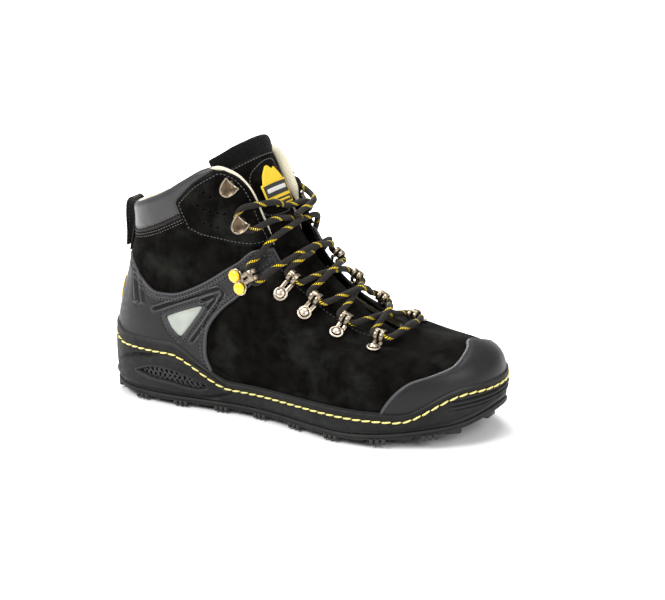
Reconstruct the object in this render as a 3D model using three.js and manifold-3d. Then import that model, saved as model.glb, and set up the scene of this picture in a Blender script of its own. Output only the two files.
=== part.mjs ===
// A right-foot safety hiking boot, mid height, built up from its separate pieces.
// Millimetres. +X points to the toe, +Y to the inner side of the foot, +Z up.
// The origin is on the ground, under the centre of the heel.

import * as THREE from "three";
import { mergeVertices } from "three/addons/utils/BufferGeometryUtils.js";
import Module from "manifold-3d";

const wasm = await Module();
wasm.setup();

// ---------------------------------------------------------------- driving dimensions

// The upper is a fan of control points on half of the boot. Each row is one level and holds
// [x, half width, z] from the heel back round to the front ridge:
// heel back, heel corner, heel side, waist, ball, shoulder, ridge.
const UPPER_FAN = [
  [
    [-36, 0, 20], [-27, 21, 20], [8, 33, 20], [88, 36, 20],
    [180, 51, 20], [236, 32, 20], [252, 0, 20],
  ],
  [
    [-38, 0, 42], [-30, 23.5, 42], [8, 37, 42], [90, 39, 40],
    [180, 54, 38], [238, 35, 39], [256, 0, 40],
  ],
  [
    [-36.5, 0, 58], [-28, 22.5, 58], [8, 36.5, 57], [90, 39, 51],
    [175, 51, 50], [233, 33, 52], [252, 0, 54],
  ],
  [
    [-33, 0, 74], [-24.5, 21, 73], [9, 35, 72], [85, 38, 64],
    [162, 46, 60], [214, 27, 58.5], [236, 0, 62.5],
  ],
  [
    [-29, 0, 90], [-20, 19.5, 89], [9, 33, 88], [76, 36, 80],
    [138, 40, 71], [172, 24, 64.5], [190, 0, 66.8],
  ],
  [
    [-25.5, 0, 104], [-16.5, 19, 104], [9, 31.5, 104], [64, 35, 101],
    [110, 36, 91], [130, 22, 92], [141, 0, 95],
  ],
  [
    [-22, 0, 118], [-14, 19, 119], [9, 31, 120], [52, 34, 124],
    [86, 34, 121], [103.5, 23, 129], [108, 0, 130],
  ],
  [
    [-20, 0, 132], [-12.5, 20, 134], [8, 33, 138], [40, 36, 150],
    [66, 36, 160], [84.5, 25.5, 169], [88, 0, 172],
  ],
  [
    [-21, 0, 150], [-13, 21, 152], [6, 34, 160], [32, 37, 174],
    [54, 38, 188], [74, 28.5, 199], [78, 0, 203],
  ],
];

// The edge of the sole in the same fan of columns: [x, half width].
const SOLE_EDGE = [[-44, 0], [-33.5, 27], [5, 40.5], [90, 40], [180, 58.5], [243, 34], [260, 0]];

const RIDGE = 6; // fan column of the front ridge
const TOP_ROW = UPPER_FAN.length - 1;
const TOE_BEND = 5; // how far the toe turns to the inner side

const LUG_HEIGHT = 4;
const PLATE = 4; // outsole thickness above the lugs
const TOE_SPRING = 12;
const SPRING_START = 150;
const SPRING_LENGTH = 112;
const HEEL_BEVEL = 3;
const TOE_BEVEL = 5; // extra lift of the sole under the toe tip
const TOE_BEVEL_START = 238;
const HEEL_CUP = 5; // extra height of the rand at the back of the heel
const FLOOR = 17.3; // underside of the insole board
const BOARD_TOP = 2.5; // heights above FLOOR
const INSIDE_FLOOR = 2.8;
const FOOTBED_TOP = 7.5;

const GAP = 0.3; // clearance between neighbouring pieces
const LEATHER = 1.8;
const OVERLAY_IN = LEATHER + GAP; // overlays lie on the base leather
const OVERLAY_OUT = OVERLAY_IN + 1.8;
const PADDING_OUT = -GAP; // padding lies under the base leather
const PADDING_IN = -2.3;
const LINING_OUT = PADDING_IN - GAP;
const LINING_IN = LINING_OUT - 2;

const LACE_RADIUS = 2.2;
const LOOP_BORE = 3.5; // radius of the tunnel a lace runs through
const LOOP_TUBE = 4.5;
const LOOP_LENGTH = 6; // of the tunnel, along the lace
const ANKLE_LENGTH = 5;
const HARDWARE_LIFT = 0.9; // hardware stands this far off the leather
const METAL = 1.2; // plate thickness of the hardware
const RIVET_SHANK = 2.1;
const RIVET_HOLE = 2.5;
const LACE_LIFT = LACE_RADIUS + 0.4; // lace centre above what it lies on

// ---------------------------------------------------------------- materials

const standard = (color, roughness, metalness = 0) =>
  new THREE.MeshStandardMaterial({ color, roughness, metalness });

const MATERIALS = {
  nubuck: standard(0x1c1b1a, 0.85),
  rubber: standard(0x1b1b1c, 0.6),
  moulded: standard(0x3c3d40, 0.5),
  collarLeather: standard(0x6d6e72, 0.4),
  lining: standard(0xe0d8c0, 0.9),
  suede: standard(0x161616, 0.95),
  foam: standard(0xd8d2a8, 0.95),
  board: standard(0x8c8878, 0.9),
  steel: standard(0x9a9c9f, 0.35, 1),
  shell: standard(0x2c3036, 0.5),
  reflective: standard(0xc5cac2, 0.35),
  patch: standard(0xd8b020, 0.6),
  yellowRivet: standard(0xffd010, 0.35),
  nickel: standard(0xd8cfc0, 0.25, 1),
  cord: standard(0x35322c, 0.9),
  thread: standard(0xd8c85a, 0.8),
};

// ---------------------------------------------------------------- the fan surface

const { clamp, lerp, smoothstep } = THREE.MathUtils;
const smoothStep = (from, to, value) => smoothstep(value, from, to);
const spring = (x) => TOE_SPRING * Math.max(0, (x - SPRING_START) / SPRING_LENGTH) ** 2;
const heelBevel = (x) => HEEL_BEVEL * Math.max(0, (-10 - x) / 34) ** 2;
const toeBevel = (x) => TOE_BEVEL * Math.max(0, (x - TOE_BEVEL_START) / 22) ** 2;
const soleBottom = (x) => LUG_HEIGHT + spring(x) + heelBevel(x) + toeBevel(x);
const floorHeight = (x) => FLOOR + spring(x);
const heelCup = (x) => HEEL_CUP * (1 - smoothStep(-40, -20, x));
const randTop = (x) => 24 + 25 * (1 - smoothStep(22, 72, x)) + 19 * smoothStep(208, 252, x) + heelCup(x);
const toeBend = (x) => TOE_BEND * clamp((x - 60) / 200, 0, 1) ** 2;

// Catmull-Rom value and slope at t between b and c.
function spline(a, b, c, d, t) {
  const value = 0.5 * (2 * b + (c - a) * t + (2 * a - 5 * b + 4 * c - d) * t * t
    + (3 * b - a - 3 * c + d) * t ** 3);
  const slope = 0.5 * (c - a + 2 * (2 * a - 5 * b + 4 * c - d) * t
    + 3 * (3 * b - a - 3 * c + d) * t * t);
  return [value, slope];
}

// A fan entry, mirrored across the centre line past the first and last column and carried on
// straight past the first and last row.
function fanEntry(row, column, axis) {
  if (row < 0) return 2 * fanEntry(0, column, axis) - fanEntry(1, column, axis);
  if (row > TOP_ROW) return 2 * fanEntry(TOP_ROW, column, axis) - fanEntry(TOP_ROW - 1, column, axis);
  const mirrored = column < 0 || column > RIDGE;
  const inside = column < 0 ? -column : column > RIDGE ? 2 * RIDGE - column : column;
  const value = UPPER_FAN[row][inside][axis];
  return mirrored && axis === 1 ? -value : value;
}

// Point and outward normal of the upper at column u and row v. Side -1 is the outer side of the foot.
function upperAt(u, v, side) {
  const column = clamp(Math.floor(u), 0, RIDGE - 1);
  const row = clamp(Math.floor(v), 0, TOP_ROW - 1);
  const [point, alongU, alongV] = [[], [], []];
  for (let axis = 0; axis < 3; axis++) {
    const values = [];
    const slopes = [];
    for (let k = -1; k <= 2; k++) {
      const entries = [-1, 0, 1, 2].map((m) => fanEntry(row + k, column + m, axis));
      const [value, slope] = spline(...entries, u - column);
      values.push(value);
      slopes.push(slope);
    }
    const [value, slope] = spline(...values, v - row);
    point.push(value);
    alongV.push(slope);
    alongU.push(spline(...slopes, v - row)[0]);
  }
  const turn = toeBend(point[0] + 0.5) - toeBend(point[0] - 0.5);
  const place = (p, base) => new THREE.Vector3(p[0], side * p[1] + base, p[2]);
  const du = place(alongU, turn * alongU[0]);
  const dv = place(alongV, turn * alongV[0]);
  const normal = du.cross(dv).multiplyScalar(-side).normalize();
  return { point: place(point, toeBend(point[0])), normal };
}

const lifted = (u, v, side, offset) => {
  const { point, normal } = upperAt(u, v, side);
  return point.addScaledVector(normal, offset);
};

// Fan columns of one ring: up the outer side to the ridge and back down the inner side.
const RING_COLUMNS = [0, 0.55, 1, 1.5, 2, 2.7, 3.4, 4, 4.4, 4.75, 5.1, 5.4, 5.7];
const RING = [
  ...RING_COLUMNS.map((u) => ({ u, side: -1 })),
  { u: RIDGE, side: -1 },
  ...RING_COLUMNS.slice(1).reverse().map((u) => ({ u, side: 1 })),
];

// ---------------------------------------------------------------- solids

// A closed mesh as a solid that can be joined and cut.
function toSolid(geometry) {
  const bare = geometry.index ? geometry.toNonIndexed() : geometry.clone();
  bare.deleteAttribute("normal");
  bare.deleteAttribute("uv");
  const merged = mergeVertices(bare, 1e-4);
  return new wasm.Manifold(new wasm.Mesh({
    numProp: 3,
    vertProperties: merged.attributes.position.array,
    triVerts: new Uint32Array(merged.index.array),
  }));
}

function toGeometry(solid) {
  const mesh = solid.getMesh();
  const geometry = new THREE.BufferGeometry();
  geometry.setAttribute("position", new THREE.BufferAttribute(mesh.vertProperties, 3));
  geometry.setIndex(new THREE.BufferAttribute(mesh.triVerts, 1));
  return geometry;
}

const joined = (solids) => solids.reduce((all, next) => all.add(next));

// A closed body through rings of points. Both ends are closed by rungs from one side of the boot to
// the other, so an end follows the ring's own rise and fall.
function loft(rings) {
  const count = rings[0].length;
  const index = [];
  for (let k = 0; k < count; k++) {
    const next = (k + 1) % count;
    for (let r = 0; r + 1 < rings.length; r++) {
      const [a, b] = [r * count + k, r * count + next];
      index.push(a, b, a + count, b, b + count, a + count);
    }
  }
  const top = (rings.length - 1) * count;
  for (let k = 0; k < count / 2; k++) {
    const [a, b] = [k, k + 1];
    const [c, d] = [(count - k) % count, count - k - 1];
    for (const [p, q, r] of [[a, c, b], [b, c, d]]) {
      if (p === q || q === r || r === p) continue;
      index.push(p, q, r, top + p, top + r, top + q);
    }
  }
  const geometry = new THREE.BufferGeometry();
  const positions = rings.flat().flatMap((p) => p.toArray());
  geometry.setAttribute("position", new THREE.Float32BufferAttribute(positions, 3));
  geometry.setIndex(index);
  return toSolid(geometry);
}

// Fan rows of the rings that a full body of the upper is lofted through.
const LEVELS = [-0.5, 0.3, 1, 1.7, 2.4, 3.1, 3.7, 4.2, 4.7, 5.3, 6, 7, 8];

// The boot's upper grown by an offset, as one full body.
const grownUppers = new Map();
function grownUpper(offset) {
  if (!grownUppers.has(offset)) {
    const ringAt = (v) => RING.map(({ u, side }) => lifted(u, v, side, offset));
    grownUppers.set(offset, loft(LEVELS.map(ringAt)));
  }
  return grownUppers.get(offset);
}

const shell = (inner, outer) => grownUpper(outer).subtract(grownUpper(inner));

// A side-view outline [x, z] carried right across the boot, or across one side of it.
function across(outline, { from = -90, to = 90, smooth = false } = {}) {
  const points = outline.map(([x, z]) => new THREE.Vector2(x, z));
  const shape = new THREE.Shape();
  shape.moveTo(points[0].x, points[0].y);
  if (smooth) shape.splineThru([...points.slice(1), points[0]]);
  else points.slice(1).forEach((p) => shape.lineTo(p.x, p.y));
  const geometry = new THREE.ExtrudeGeometry(shape, {
    depth: to - from,
    bevelEnabled: false,
    curveSegments: 2,
  });
  geometry.rotateX(Math.PI / 2);
  geometry.translate(0, to, 0);
  return toSolid(geometry);
}

// A slab that follows the inside floor, between two heights above it.
function floorSlab(low, high) {
  const stations = [-60, 150, 175, 200, 220, 240, 262, 280];
  const under = stations.map((x) => [x, floorHeight(x) + low]);
  const over = stations.map((x) => [x, floorHeight(x) + high]).reverse();
  return across([...under, ...over]);
}

const boxAt = (center, size) =>
  toSolid(new THREE.BoxGeometry(...size).translate(...center));

// Turn matrix for a piece that stands on a surface: local x towards `ahead`, local z along `up`.
function standingFrame(origin, ahead, up) {
  const z = up.clone().normalize();
  const x = ahead.clone().addScaledVector(z, -ahead.dot(z)).normalize();
  const y = z.clone().cross(x);
  return new THREE.Matrix4().makeBasis(x, y, z).setPosition(origin);
}

const cylinder = (radius, low, high, sides = 10) =>
  new THREE.CylinderGeometry(radius, radius, high - low, sides)
    .rotateX(Math.PI / 2)
    .translate(0, 0, (low + high) / 2);

// ---------------------------------------------------------------- side-view outlines

// The front edge of the lace opening, from its base up to the peak of the eyelet panel.
const THROAT_LOW = [
  [192, 67.6], [184, 66.3], [172, 67.5], [150, 77.5], [130, 91.5], [115, 106], [106, 119],
];
const THROAT_HIGH = [
  [100.4, 132.2], [94.7, 143.7], [88.6, 158], [84.4, 165.8], [78.6, 172.9], [71.6, 177.2],
];

// The seam between the vamp and the quarters, hidden under the heel counter and its ankle strap.
const SPLIT = [[52, 10], [49, 45], [52, 63], [62, 76], [78, 92], [92, 106], [106, 119]];
const COLLAR_SEAM = [[-60, 118], [-13, 122.3], [11.3, 130.8], [37, 142.5]];
const PANEL_REAR = [[33.3, 152], [49.8, 166.6], [66.7, 177]];
const COLLAR_TOP = [
  [65, 179.5], [57, 177.3], [40.3, 168.5], [20.9, 157.5], [9.2, 152.5], [-20, 142.5], [-60, 140],
];
const EYELET_PANEL = [
  ...PANEL_REAR, ...THROAT_HIGH.toReversed(), [103.4, 127], [91.4, 124.3], [69.1, 127.1],
  [52.2, 128.9], [40.9, 132.8], [37, 142.5],
];
const COUNTER = [
  [-60, 10], [57.5, 10], [56.5, 30.5], [53.4, 41.9], [53.7, 52.8], [55.2, 61.2], [60.3, 69.7],
  [68.6, 78.7], [81.1, 88.4], [95.7, 101.3], [109.6, 112.6], [103.4, 123.4], [91, 121.6], [81.8, 113.9],
  [69.8, 106.4], [57.8, 98.8], [42.6, 90.6], [28.8, 85], [18.3, 83.8], [8.3, 84.3], [-1.7, 89.9],
  [-12.6, 98.8], [-22, 104], [-60, 106],
];
const REFLECTOR = [[21.3, 66.4], [49.9, 77.1], [31.8, 55]];
const TOE_GUARD = [
  [193, 10], [195, 23], [202.3, 35], [213.9, 45.5], [229, 50.5], [238.5, 54.5], [239, 60], [233.5, 64.5],
  [231, 90], [300, 90], [300, 10],
];

// Outline moved by GAP away from (or into) its middle, for a piece that sits in a window.
function grown(outline, amount) {
  const count = outline.length;
  const center = outline.reduce((sum, [x, z]) => [sum[0] + x / count, sum[1] + z / count], [0, 0]);
  return outline.map(([x, z]) => {
    const reach = Math.hypot(x - center[0], z - center[1]);
    const scale = 1 + amount / reach;
    return [center[0] + (x - center[0]) * scale, center[1] + (z - center[1]) * scale];
  });
}

const OUTER_SIDE = { from: -90, to: -0.5 };
const INNER_SIDE = { from: 0.5, to: 90 };

// ---------------------------------------------------------------- sole

function soleRing(inset, height) {
  const rim = SOLE_EDGE.map(([x, halfWidth]) => [x, halfWidth]);
  const entry = (column, axis) => {
    const inside = column < 0 ? -column : column > RIDGE ? 2 * RIDGE - column : column;
    return rim[inside][axis] * (inside !== column && axis === 1 ? -1 : 1);
  };
  return RING.map(({ u, side }) => {
    const column = Math.min(Math.floor(u), RIDGE - 1);
    const [x, dx] = spline(...[-1, 0, 1, 2].map((m) => entry(column + m, 0)), u - column);
    const [w, dw] = spline(...[-1, 0, 1, 2].map((m) => entry(column + m, 1)), u - column);
    const length = Math.hypot(dx, dw);
    const px = x + (inset * dw) / length;
    const pw = w - (inset * dx) / length;
    return new THREE.Vector3(px, side * pw + toeBend(px), height(px));
  });
}

// Point of the upper at the height of the rand, stood off by `offset`.
function randPoint(u, side, offset, heightOf) {
  let [low, high] = [-0.5, 4];
  for (let step = 0; step < 24; step++) {
    const middle = (low + high) / 2;
    const p = lifted(u, middle, side, offset);
    if (p.z < heightOf(p.x)) low = middle;
    else high = middle;
  }
  return lifted(u, low, side, offset);
}

const RAND_THICK = 4.9;
const SHANK = { center: [70, 0, FLOOR - 1.1], size: [108, 14, 1.5], slack: [4, 4, 2.6] };
const randRing = (offset, heightOf) => RING.map(({ u, side }) => randPoint(u, side, offset, heightOf));

function makeOutsole() {
  const plateTop = (x) => soleBottom(x) + PLATE;
  const plate = loft([
    soleRing(2, soleBottom),
    soleRing(0, (x) => soleBottom(x) + 1),
    soleRing(0, plateTop),
  ]);
  return joined([plate, ...makeLugs()]);
}

// Tread blocks: size along and across the sole, and places along it.
const EDGE_LUG = { size: [12.5, 12], spacing: 33, inset: 9 };
const HEEL_LUG = { size: [12, 26], places: [0, 17] };
const BALL_LUG = { size: [12, 14], places: [112, 130, 148, 166, 184, 202], turn: 0.35 };
const BALL_SPREAD = 8; // half distance between the first pair of ball blocks
const BALL_WIDENING = 0.12; // how much that grows per millimetre towards the toe

// Tread blocks: a row along each edge and broad blocks down the middle.
function makeLugs() {
  const lug = (x, y, [length, width], turn) => {
    const height = LUG_HEIGHT + 1;
    const base = soleBottom(x) - LUG_HEIGHT;
    return toSolid(new THREE.BoxGeometry(length, width, height)
      .rotateZ(turn)
      .translate(x, y, base + height / 2));
  };
  const lugs = [];
  const edge = soleRing(EDGE_LUG.inset, () => 0);
  const path = new THREE.CatmullRomCurve3(edge, true);
  const total = Math.floor(path.getLength() / EDGE_LUG.spacing);
  for (let k = 0; k < total; k++) {
    const t = (k + 0.5) / total;
    const p = path.getPointAt(t);
    const tangent = path.getTangentAt(t);
    lugs.push(lug(p.x, p.y, EDGE_LUG.size, Math.atan2(tangent.y, tangent.x)));
  }
  for (const x of HEEL_LUG.places) lugs.push(lug(x, 0, HEEL_LUG.size, 0));
  for (const x of BALL_LUG.places) {
    const halfSpan = BALL_SPREAD + BALL_WIDENING * (x - BALL_LUG.places[0]);
    for (const side of [-1, 1]) {
      const y = side * halfSpan + toeBend(x);
      lugs.push(lug(x, y, BALL_LUG.size, side * BALL_LUG.turn));
    }
  }
  return lugs;
}

// Rings of the midsole's outer wall, from its underside up to the rand's inner edge.
function midsoleRings() {
  const bottom = (x) => soleBottom(x) + PLATE + GAP;
  const low = soleRing(1.5, bottom);
  const shoulder = soleRing(0, (x) => bottom(x) + 3);
  const top = randRing(RAND_THICK, randTop);
  const crest = randRing(RAND_THICK - 2.4, (x) => randTop(x) + 1.2);
  const bulge = shoulder.map((p, k) => p.clone().lerp(top[k], 0.55));
  return [low, shoulder, bulge, top, crest];
}

function makeMidsole() {
  const seat = grownUpper(OVERLAY_IN);
  const overlaySeat = grownUpper(OVERLAY_OUT + GAP);
  const cavity = joined([
    seat,
    overlaySeat.intersect(across(grown(COUNTER, 1.2))),
    overlaySeat.intersect(across(TOE_GUARD.map(([x, z]) => [x - 0.6, z]))),
  ]).intersect(floorSlab(0, 60));
  const slotSize = SHANK.size.map((side, axis) => side + SHANK.slack[axis]);
  const shankSlot = boxAt(SHANK.center, slotSize);
  return loft(midsoleRings()).subtract(cavity).subtract(shankSlot);
}

const STITCH_RADIUS = 0.6;
const stitchHeight = (x) => randTop(x) - 4.5 - 4 * (1 - smoothStep(22, 72, x));

// The line of the welt stitching: it follows the midsole's wall a little below the rand's top edge.
function weltStitchCurve() {
  const rings = midsoleRings();
  const onWall = RING.map((_, k) => {
    for (let r = 3; r > 0; r--) {
      const [low, high] = [rings[r - 1][k], rings[r][k]];
      const share = (stitchHeight(high.x) - low.z) / (high.z - low.z);
      if (share >= 0) return low.clone().lerp(high, Math.min(share, 1));
    }
    return rings[0][k].clone();
  });
  const stood = onWall.map((p, k) => {
    const [before, after] = [onWall.at(k - 1), onWall[(k + 1) % onWall.length]];
    const outward = new THREE.Vector3(after.y - before.y, before.x - after.x, 0).normalize();
    return p.clone().addScaledVector(outward, STITCH_RADIUS + 0.8);
  });
  return new THREE.CatmullRomCurve3(stood, true);
}

// ---------------------------------------------------------------- upper layers

const strip = (from, to, outline, options) => shell(from, to).intersect(across(outline, options));

const aboveFloor = (solid, clearance) => solid.intersect(floorSlab(clearance, 260));

const VAMP = [
  ...SPLIT.map(([x, z]) => [x + 0.4, z - 0.3]), ...THROAT_LOW.toReversed().slice(1), [192.4, 260],
  [300, 260], [300, 10],
];
const QUARTER = [
  ...SPLIT, ...THROAT_HIGH, [66.7, 176.6], [49.8, 166.1], [33.9, 151.8], [37.4, 142],
  ...COLLAR_SEAM.toReversed().slice(1).map(([x, z]) => [x, z - 0.4]), [-60, 10],
];
const COLLAR = [
  ...COLLAR_SEAM.slice(0, 3), [36.4, 142.6], [32.7, 152.2], [49.5, 167.1], [65, 176.8],
  ...COLLAR_TOP,
];

// ---------------------------------------------------------------- tongue

const TONGUE = { edge: 4.45, low: 3.85, high: 7.75, thick: 4.5, crown: -2.6, tucked: -6.2 };
const TONGUE_FLARE = 0.36; // fan columns by which each side of the tongue's top stands wider

// A closed pad between a front and a back offset of the upper, from one side of the ridge to the other.
// `front` and `back` give the offsets at width share s, from -1 on the outer side to 1 on the inner side.
function ridgePad({ edge, low, high, front, back, columns, rows, flare = () => 0 }) {
  const point = (i, j, offset) => {
    const s = -1 + (2 * i) / columns;
    const v = low + ((high - low) * j) / rows;
    const reach = RIDGE - edge + flare(v);
    return lifted(RIDGE - Math.abs(s) * reach, v, s < 0 ? -1 : 1, offset(s, v));
  };
  const wide = columns + 1;
  const layer = wide * (rows + 1);
  const positions = [];
  for (const offset of [front, back]) {
    for (let j = 0; j <= rows; j++) {
      for (let i = 0; i <= columns; i++) positions.push(...point(i, j, offset).toArray());
    }
  }
  const index = [];
  const quad = (a, b, c, d) => index.push(a, b, c, a, c, d);
  for (let j = 0; j < rows; j++) {
    for (let i = 0; i < columns; i++) {
      const a = j * wide + i;
      quad(a, a + 1, a + wide + 1, a + wide);
      quad(layer + a, layer + a + wide, layer + a + wide + 1, layer + a + 1);
    }
  }
  for (let i = 0; i < columns; i++) {
    const top = rows * wide + i;
    quad(i, layer + i, layer + i + 1, i + 1);
    quad(top, top + 1, layer + top + 1, layer + top);
  }
  for (let j = 0; j < rows; j++) {
    const left = j * wide;
    const right = left + columns;
    quad(left, left + wide, layer + left + wide, layer + left);
    quad(right, layer + right, layer + right + wide, right + wide);
  }
  const geometry = new THREE.BufferGeometry();
  geometry.setAttribute("position", new THREE.Float32BufferAttribute(positions, 3));
  geometry.setIndex(index);
  return toSolid(geometry);
}

// The tongue is tucked in under the throat edges and under the vamp, and crowned along the ridge.
function tongueFace(s, v) {
  const tuck = Math.max(smoothStep(0.1, 0.45, Math.abs(s)), 1 - smoothStep(4.4, 4.9, v));
  return lerp(TONGUE.crown, TONGUE.tucked, tuck);
}

const makeTongue = () => ridgePad({
  ...TONGUE,
  front: tongueFace,
  back: (s, v) => tongueFace(s, v) - TONGUE.thick,
  flare: (v) => TONGUE_FLARE * smoothStep(7, 7.35, v),
  columns: 10,
  rows: 13,
});

const makeTongueLabel = () => ridgePad({
  edge: 5.5,
  low: 6.62,
  high: 7.18,
  front: () => TONGUE.crown + GAP + 1,
  back: () => TONGUE.crown + GAP,
  columns: 4,
  rows: 3,
});

// ---------------------------------------------------------------- lace hardware

// Where each riveted loop sits: fan places of its rivet and of its tunnel, from the toe up.
const LACE_LOOPS = [
  { rivet: [4.6, 3.42], tunnel: [5.05, 3.8] },
  { rivet: [4.5, 4.1], tunnel: [5, 4.38] },
  { rivet: [4.32, 4.62], tunnel: [4.85, 4.85] },
  { rivet: [4.2, 5.1], tunnel: [4.75, 5.32] },
];
const ANKLE_HOOK = { rivet: [3.43, 5.15], tunnel: [3.93, 5.52] };
// The lower and the upper speed hook of each side.
const SPEED_HOOKS = {
  [-1]: [[4.31, 6.455], [4.45, 7.06]],
  1: [[4.2, 6.4], [3.95, 6.95]],
};

// Frame of a riveted piece: origin on the rivet, x towards the tunnel, z away from the foot.
function hardwareFrame({ rivet, tunnel }, side, lift) {
  const { point, normal } = upperAt(...rivet, side);
  const origin = point.clone().addScaledVector(normal, lift);
  const center = lifted(...tunnel, side, lift + LOOP_TUBE + 0.6);
  const matrix = standingFrame(origin, center.clone().sub(origin), normal);
  const local = center.clone().applyMatrix4(matrix.clone().invert());
  return { matrix, reach: local.x, rise: local.z };
}

const LOOP_LIFT = LEATHER + HARDWARE_LIFT;
const STRAP_LIFT = OVERLAY_OUT + HARDWARE_LIFT;

// Plate, neck and tunnel of one lace loop, in its own frame. `holes` are the rivets' places along y.
function makeLaceLoop({ reach, rise }, { pad, holes, headRadius, length }) {
  const root = headRadius + 0.8;
  const slope = Math.atan2(rise - METAL / 2, reach - root);
  const span = Math.hypot(rise - METAL / 2, reach - root) + 1.2;
  const arm = toSolid(new THREE.BoxGeometry(span, 7, METAL)
    .translate(span / 2 - 1.2, 0, 0)
    .rotateY(-slope)
    .translate(root, 0, METAL / 2));
  const tunnel = (radius, reachOut) => toSolid(cylinder(radius, -reachOut, reachOut)
    .rotateX(Math.PI / 2)
    .translate(reach, 0, rise));
  const drill = (radius, low, high) => joined(holes.map((y) =>
    toSolid(cylinder(radius, low, high).translate(0, y, 0))));
  return joined([pad, arm, tunnel(LOOP_TUBE, length / 2)])
    .subtract(tunnel(LOOP_BORE, length))
    .subtract(drill(RIVET_HOLE, -3, 6))
    .subtract(drill(headRadius + 0.5, METAL, METAL + 6));
}

const roundPad = () => toSolid(cylinder(5, 0, METAL));
const longPad = () => toSolid(new THREE.BoxGeometry(10, 19, METAL).translate(0, 0, METAL / 2));
const SMALL_RIVET = { head: 3.4, rise: 1.4, depth: 4 };
const BROAD_RIVET = { head: 4.4, rise: 2.4, depth: 6.3 };

// A domed rivet with its shank and inner washer, turned about z.
function rivetGeometry({ head, rise, depth }) {
  const profile = [
    [0, -depth], [3.4, -depth], [3.4, -depth + 0.6], [RIVET_SHANK, -depth + 0.6],
    [RIVET_SHANK, METAL + GAP], [head, METAL + GAP], [head * 0.7, METAL + GAP + rise * 0.8],
    [0, METAL + GAP + rise],
  ];
  return new THREE.LatheGeometry(profile.map(([x, y]) => new THREE.Vector2(x, y)), 10)
    .rotateX(Math.PI / 2);
}

const HOOK = { width: 6.5, base: 10, wall: 3.5, height: 6.9 };

// An open speed hook: a base plate, a wall on the throat side and a cap that leans back over the lace.
function speedHookGeometry() {
  const { base, wall, height, width } = HOOK;
  const half = base / 2;
  const outline = [
    [-half, 0], [half, 0], [wall + METAL + 1.4, METAL], [wall + METAL, METAL + 1.6],
    [wall + METAL, height], [wall, height + METAL], [-half + 1, height + METAL + 0.8],
    [-half + 1, height + 0.8], [wall - 1, height], [wall, height - 1], [wall, METAL], [-half, METAL],
  ];
  const shape = new THREE.Shape(outline.map(([x, z]) => new THREE.Vector2(x, z)));
  return new THREE.ExtrudeGeometry(shape, { depth: width, bevelEnabled: false })
    .rotateX(Math.PI / 2)
    .translate(0, width / 2, 0);
}

// Frame of a speed hook: x towards the ridge along the fan row.
function hookFrame([u, v], side) {
  const { point, normal } = upperAt(u, v, side);
  const origin = point.clone().addScaledVector(normal, STRAP_LIFT);
  const ahead = lifted(u + 0.3, v, side, 0).sub(point);
  return standingFrame(origin, ahead, normal);
}

// ---------------------------------------------------------------- lace

// How far a point is down the instep, from the top of the boot towards the toe.
const downInstep = (p) => p.x - p.z;

// The point of the upper on fan column u that lies the given way down the instep, lifted by an offset.
function overInstep(down, u, side, offset) {
  let [low, high] = [3, TOP_ROW];
  for (let step = 0; step < 24; step++) {
    const middle = (low + high) / 2;
    if (downInstep(lifted(u, middle, side, offset)) > down) low = middle;
    else high = middle;
  }
  return lifted(u, low, side, offset);
}

const localPoint = (matrix, x, y, z) => new THREE.Vector3(x, y, z).applyMatrix4(matrix);

// Lace points before, in and after a loop's tunnel, from the toe side to the ankle side.
function tunnelRun(place, side, lift) {
  const { matrix, reach, rise } = hardwareFrame(place, side, lift);
  const reachOut = LOOP_LENGTH / 2 + 2.6;
  const run = [-1, 0, 1].map((way) => localPoint(matrix, reach, way * reachOut, rise));
  return downInstep(run[0]) > downInstep(run[2]) ? run : run.reverse();
}

const CROSSING_SHARES = [0.16, 0.32, 0.5, 0.68, 0.84];
const HIGH_CROWN = 6.9; // height of a strand over the ridge
const LOW_CROWN = 1.8;

// The strand across the throat, from fan column `fromU` on one side to `toU` on the other.
// A high strand passes over a low one at the ridge.
function crossing({ from, fromU, to, toU, side, high, flank, sag = 0 }) {
  const crown = high ? HIGH_CROWN : LOW_CROWN;
  return CROSSING_SHARES.map((t) => {
    const unfolded = lerp(fromU, 2 * RIDGE - toU, t);
    const u = t === 0.5 ? RIDGE : Math.min(unfolded, 2 * RIDGE - unfolded);
    const offset = lerp(flank, crown, smoothStep(5.25, 5.9, u));
    const down = lerp(downInstep(from), downInstep(to), t) + sag * Math.sin(Math.PI * t);
    return overInstep(down, u, unfolded < RIDGE ? side : -side, offset);
  });
}

// Points of the lace round a speed hook's neck, in the hook's frame.
const HOOK_WRAP = [[8, -8.1], [3.7, -7.1], [0.4, -4.1], [0, 0], [0.4, 4.1], [3.7, 7.1], [8, 8.1]];

// Lace round the inside of a speed hook, from below it to above it.
function roundHook(place, side) {
  const matrix = hookFrame(place, side);
  const height = METAL + LACE_LIFT;
  const points = HOOK_WRAP.map(([x, y]) => localPoint(matrix, x, y, height));
  return points[0].z < points.at(-1).z ? points : points.reverse();
}

// The strand to the top hook turns up beside the throat at this fan column, this far above the upper.
const LACE_TURN_COLUMN = 5.2;
const LACE_TURN_LIFT = 11.2;

// How far a crossing strand stands off the upper beside the throat.
const VAMP_FLANK = 5.6;
const PANEL_FLANK = 7.6;
const LAST_FLANK = 6.6;
const LAST_SAG = 6; // how far the last crossing hangs down the instep

// Fan places of the two loose ends, from the hook down, and how high they lie.
const BACK_TAIL = [[3.85, 7.28], [3.4, 7.15], [3.05, 6.85], [2.8, 6.45], [2.68, 6.05]];
const FRONT_TAIL = [[4.55, 6.72], [3.95, 6.68], [3.5, 6.4], [3.25, 5.95]];
const TAIL_LIFT = OVERLAY_OUT + LACE_LIFT + 0.8;
// The bar across the toe end of the lacing: fan column, side and offset of each point.
const TOE_BAR = [[5.5, -1, 6], [RIDGE, 1, 5.8], [5.5, 1, 6]];

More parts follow.
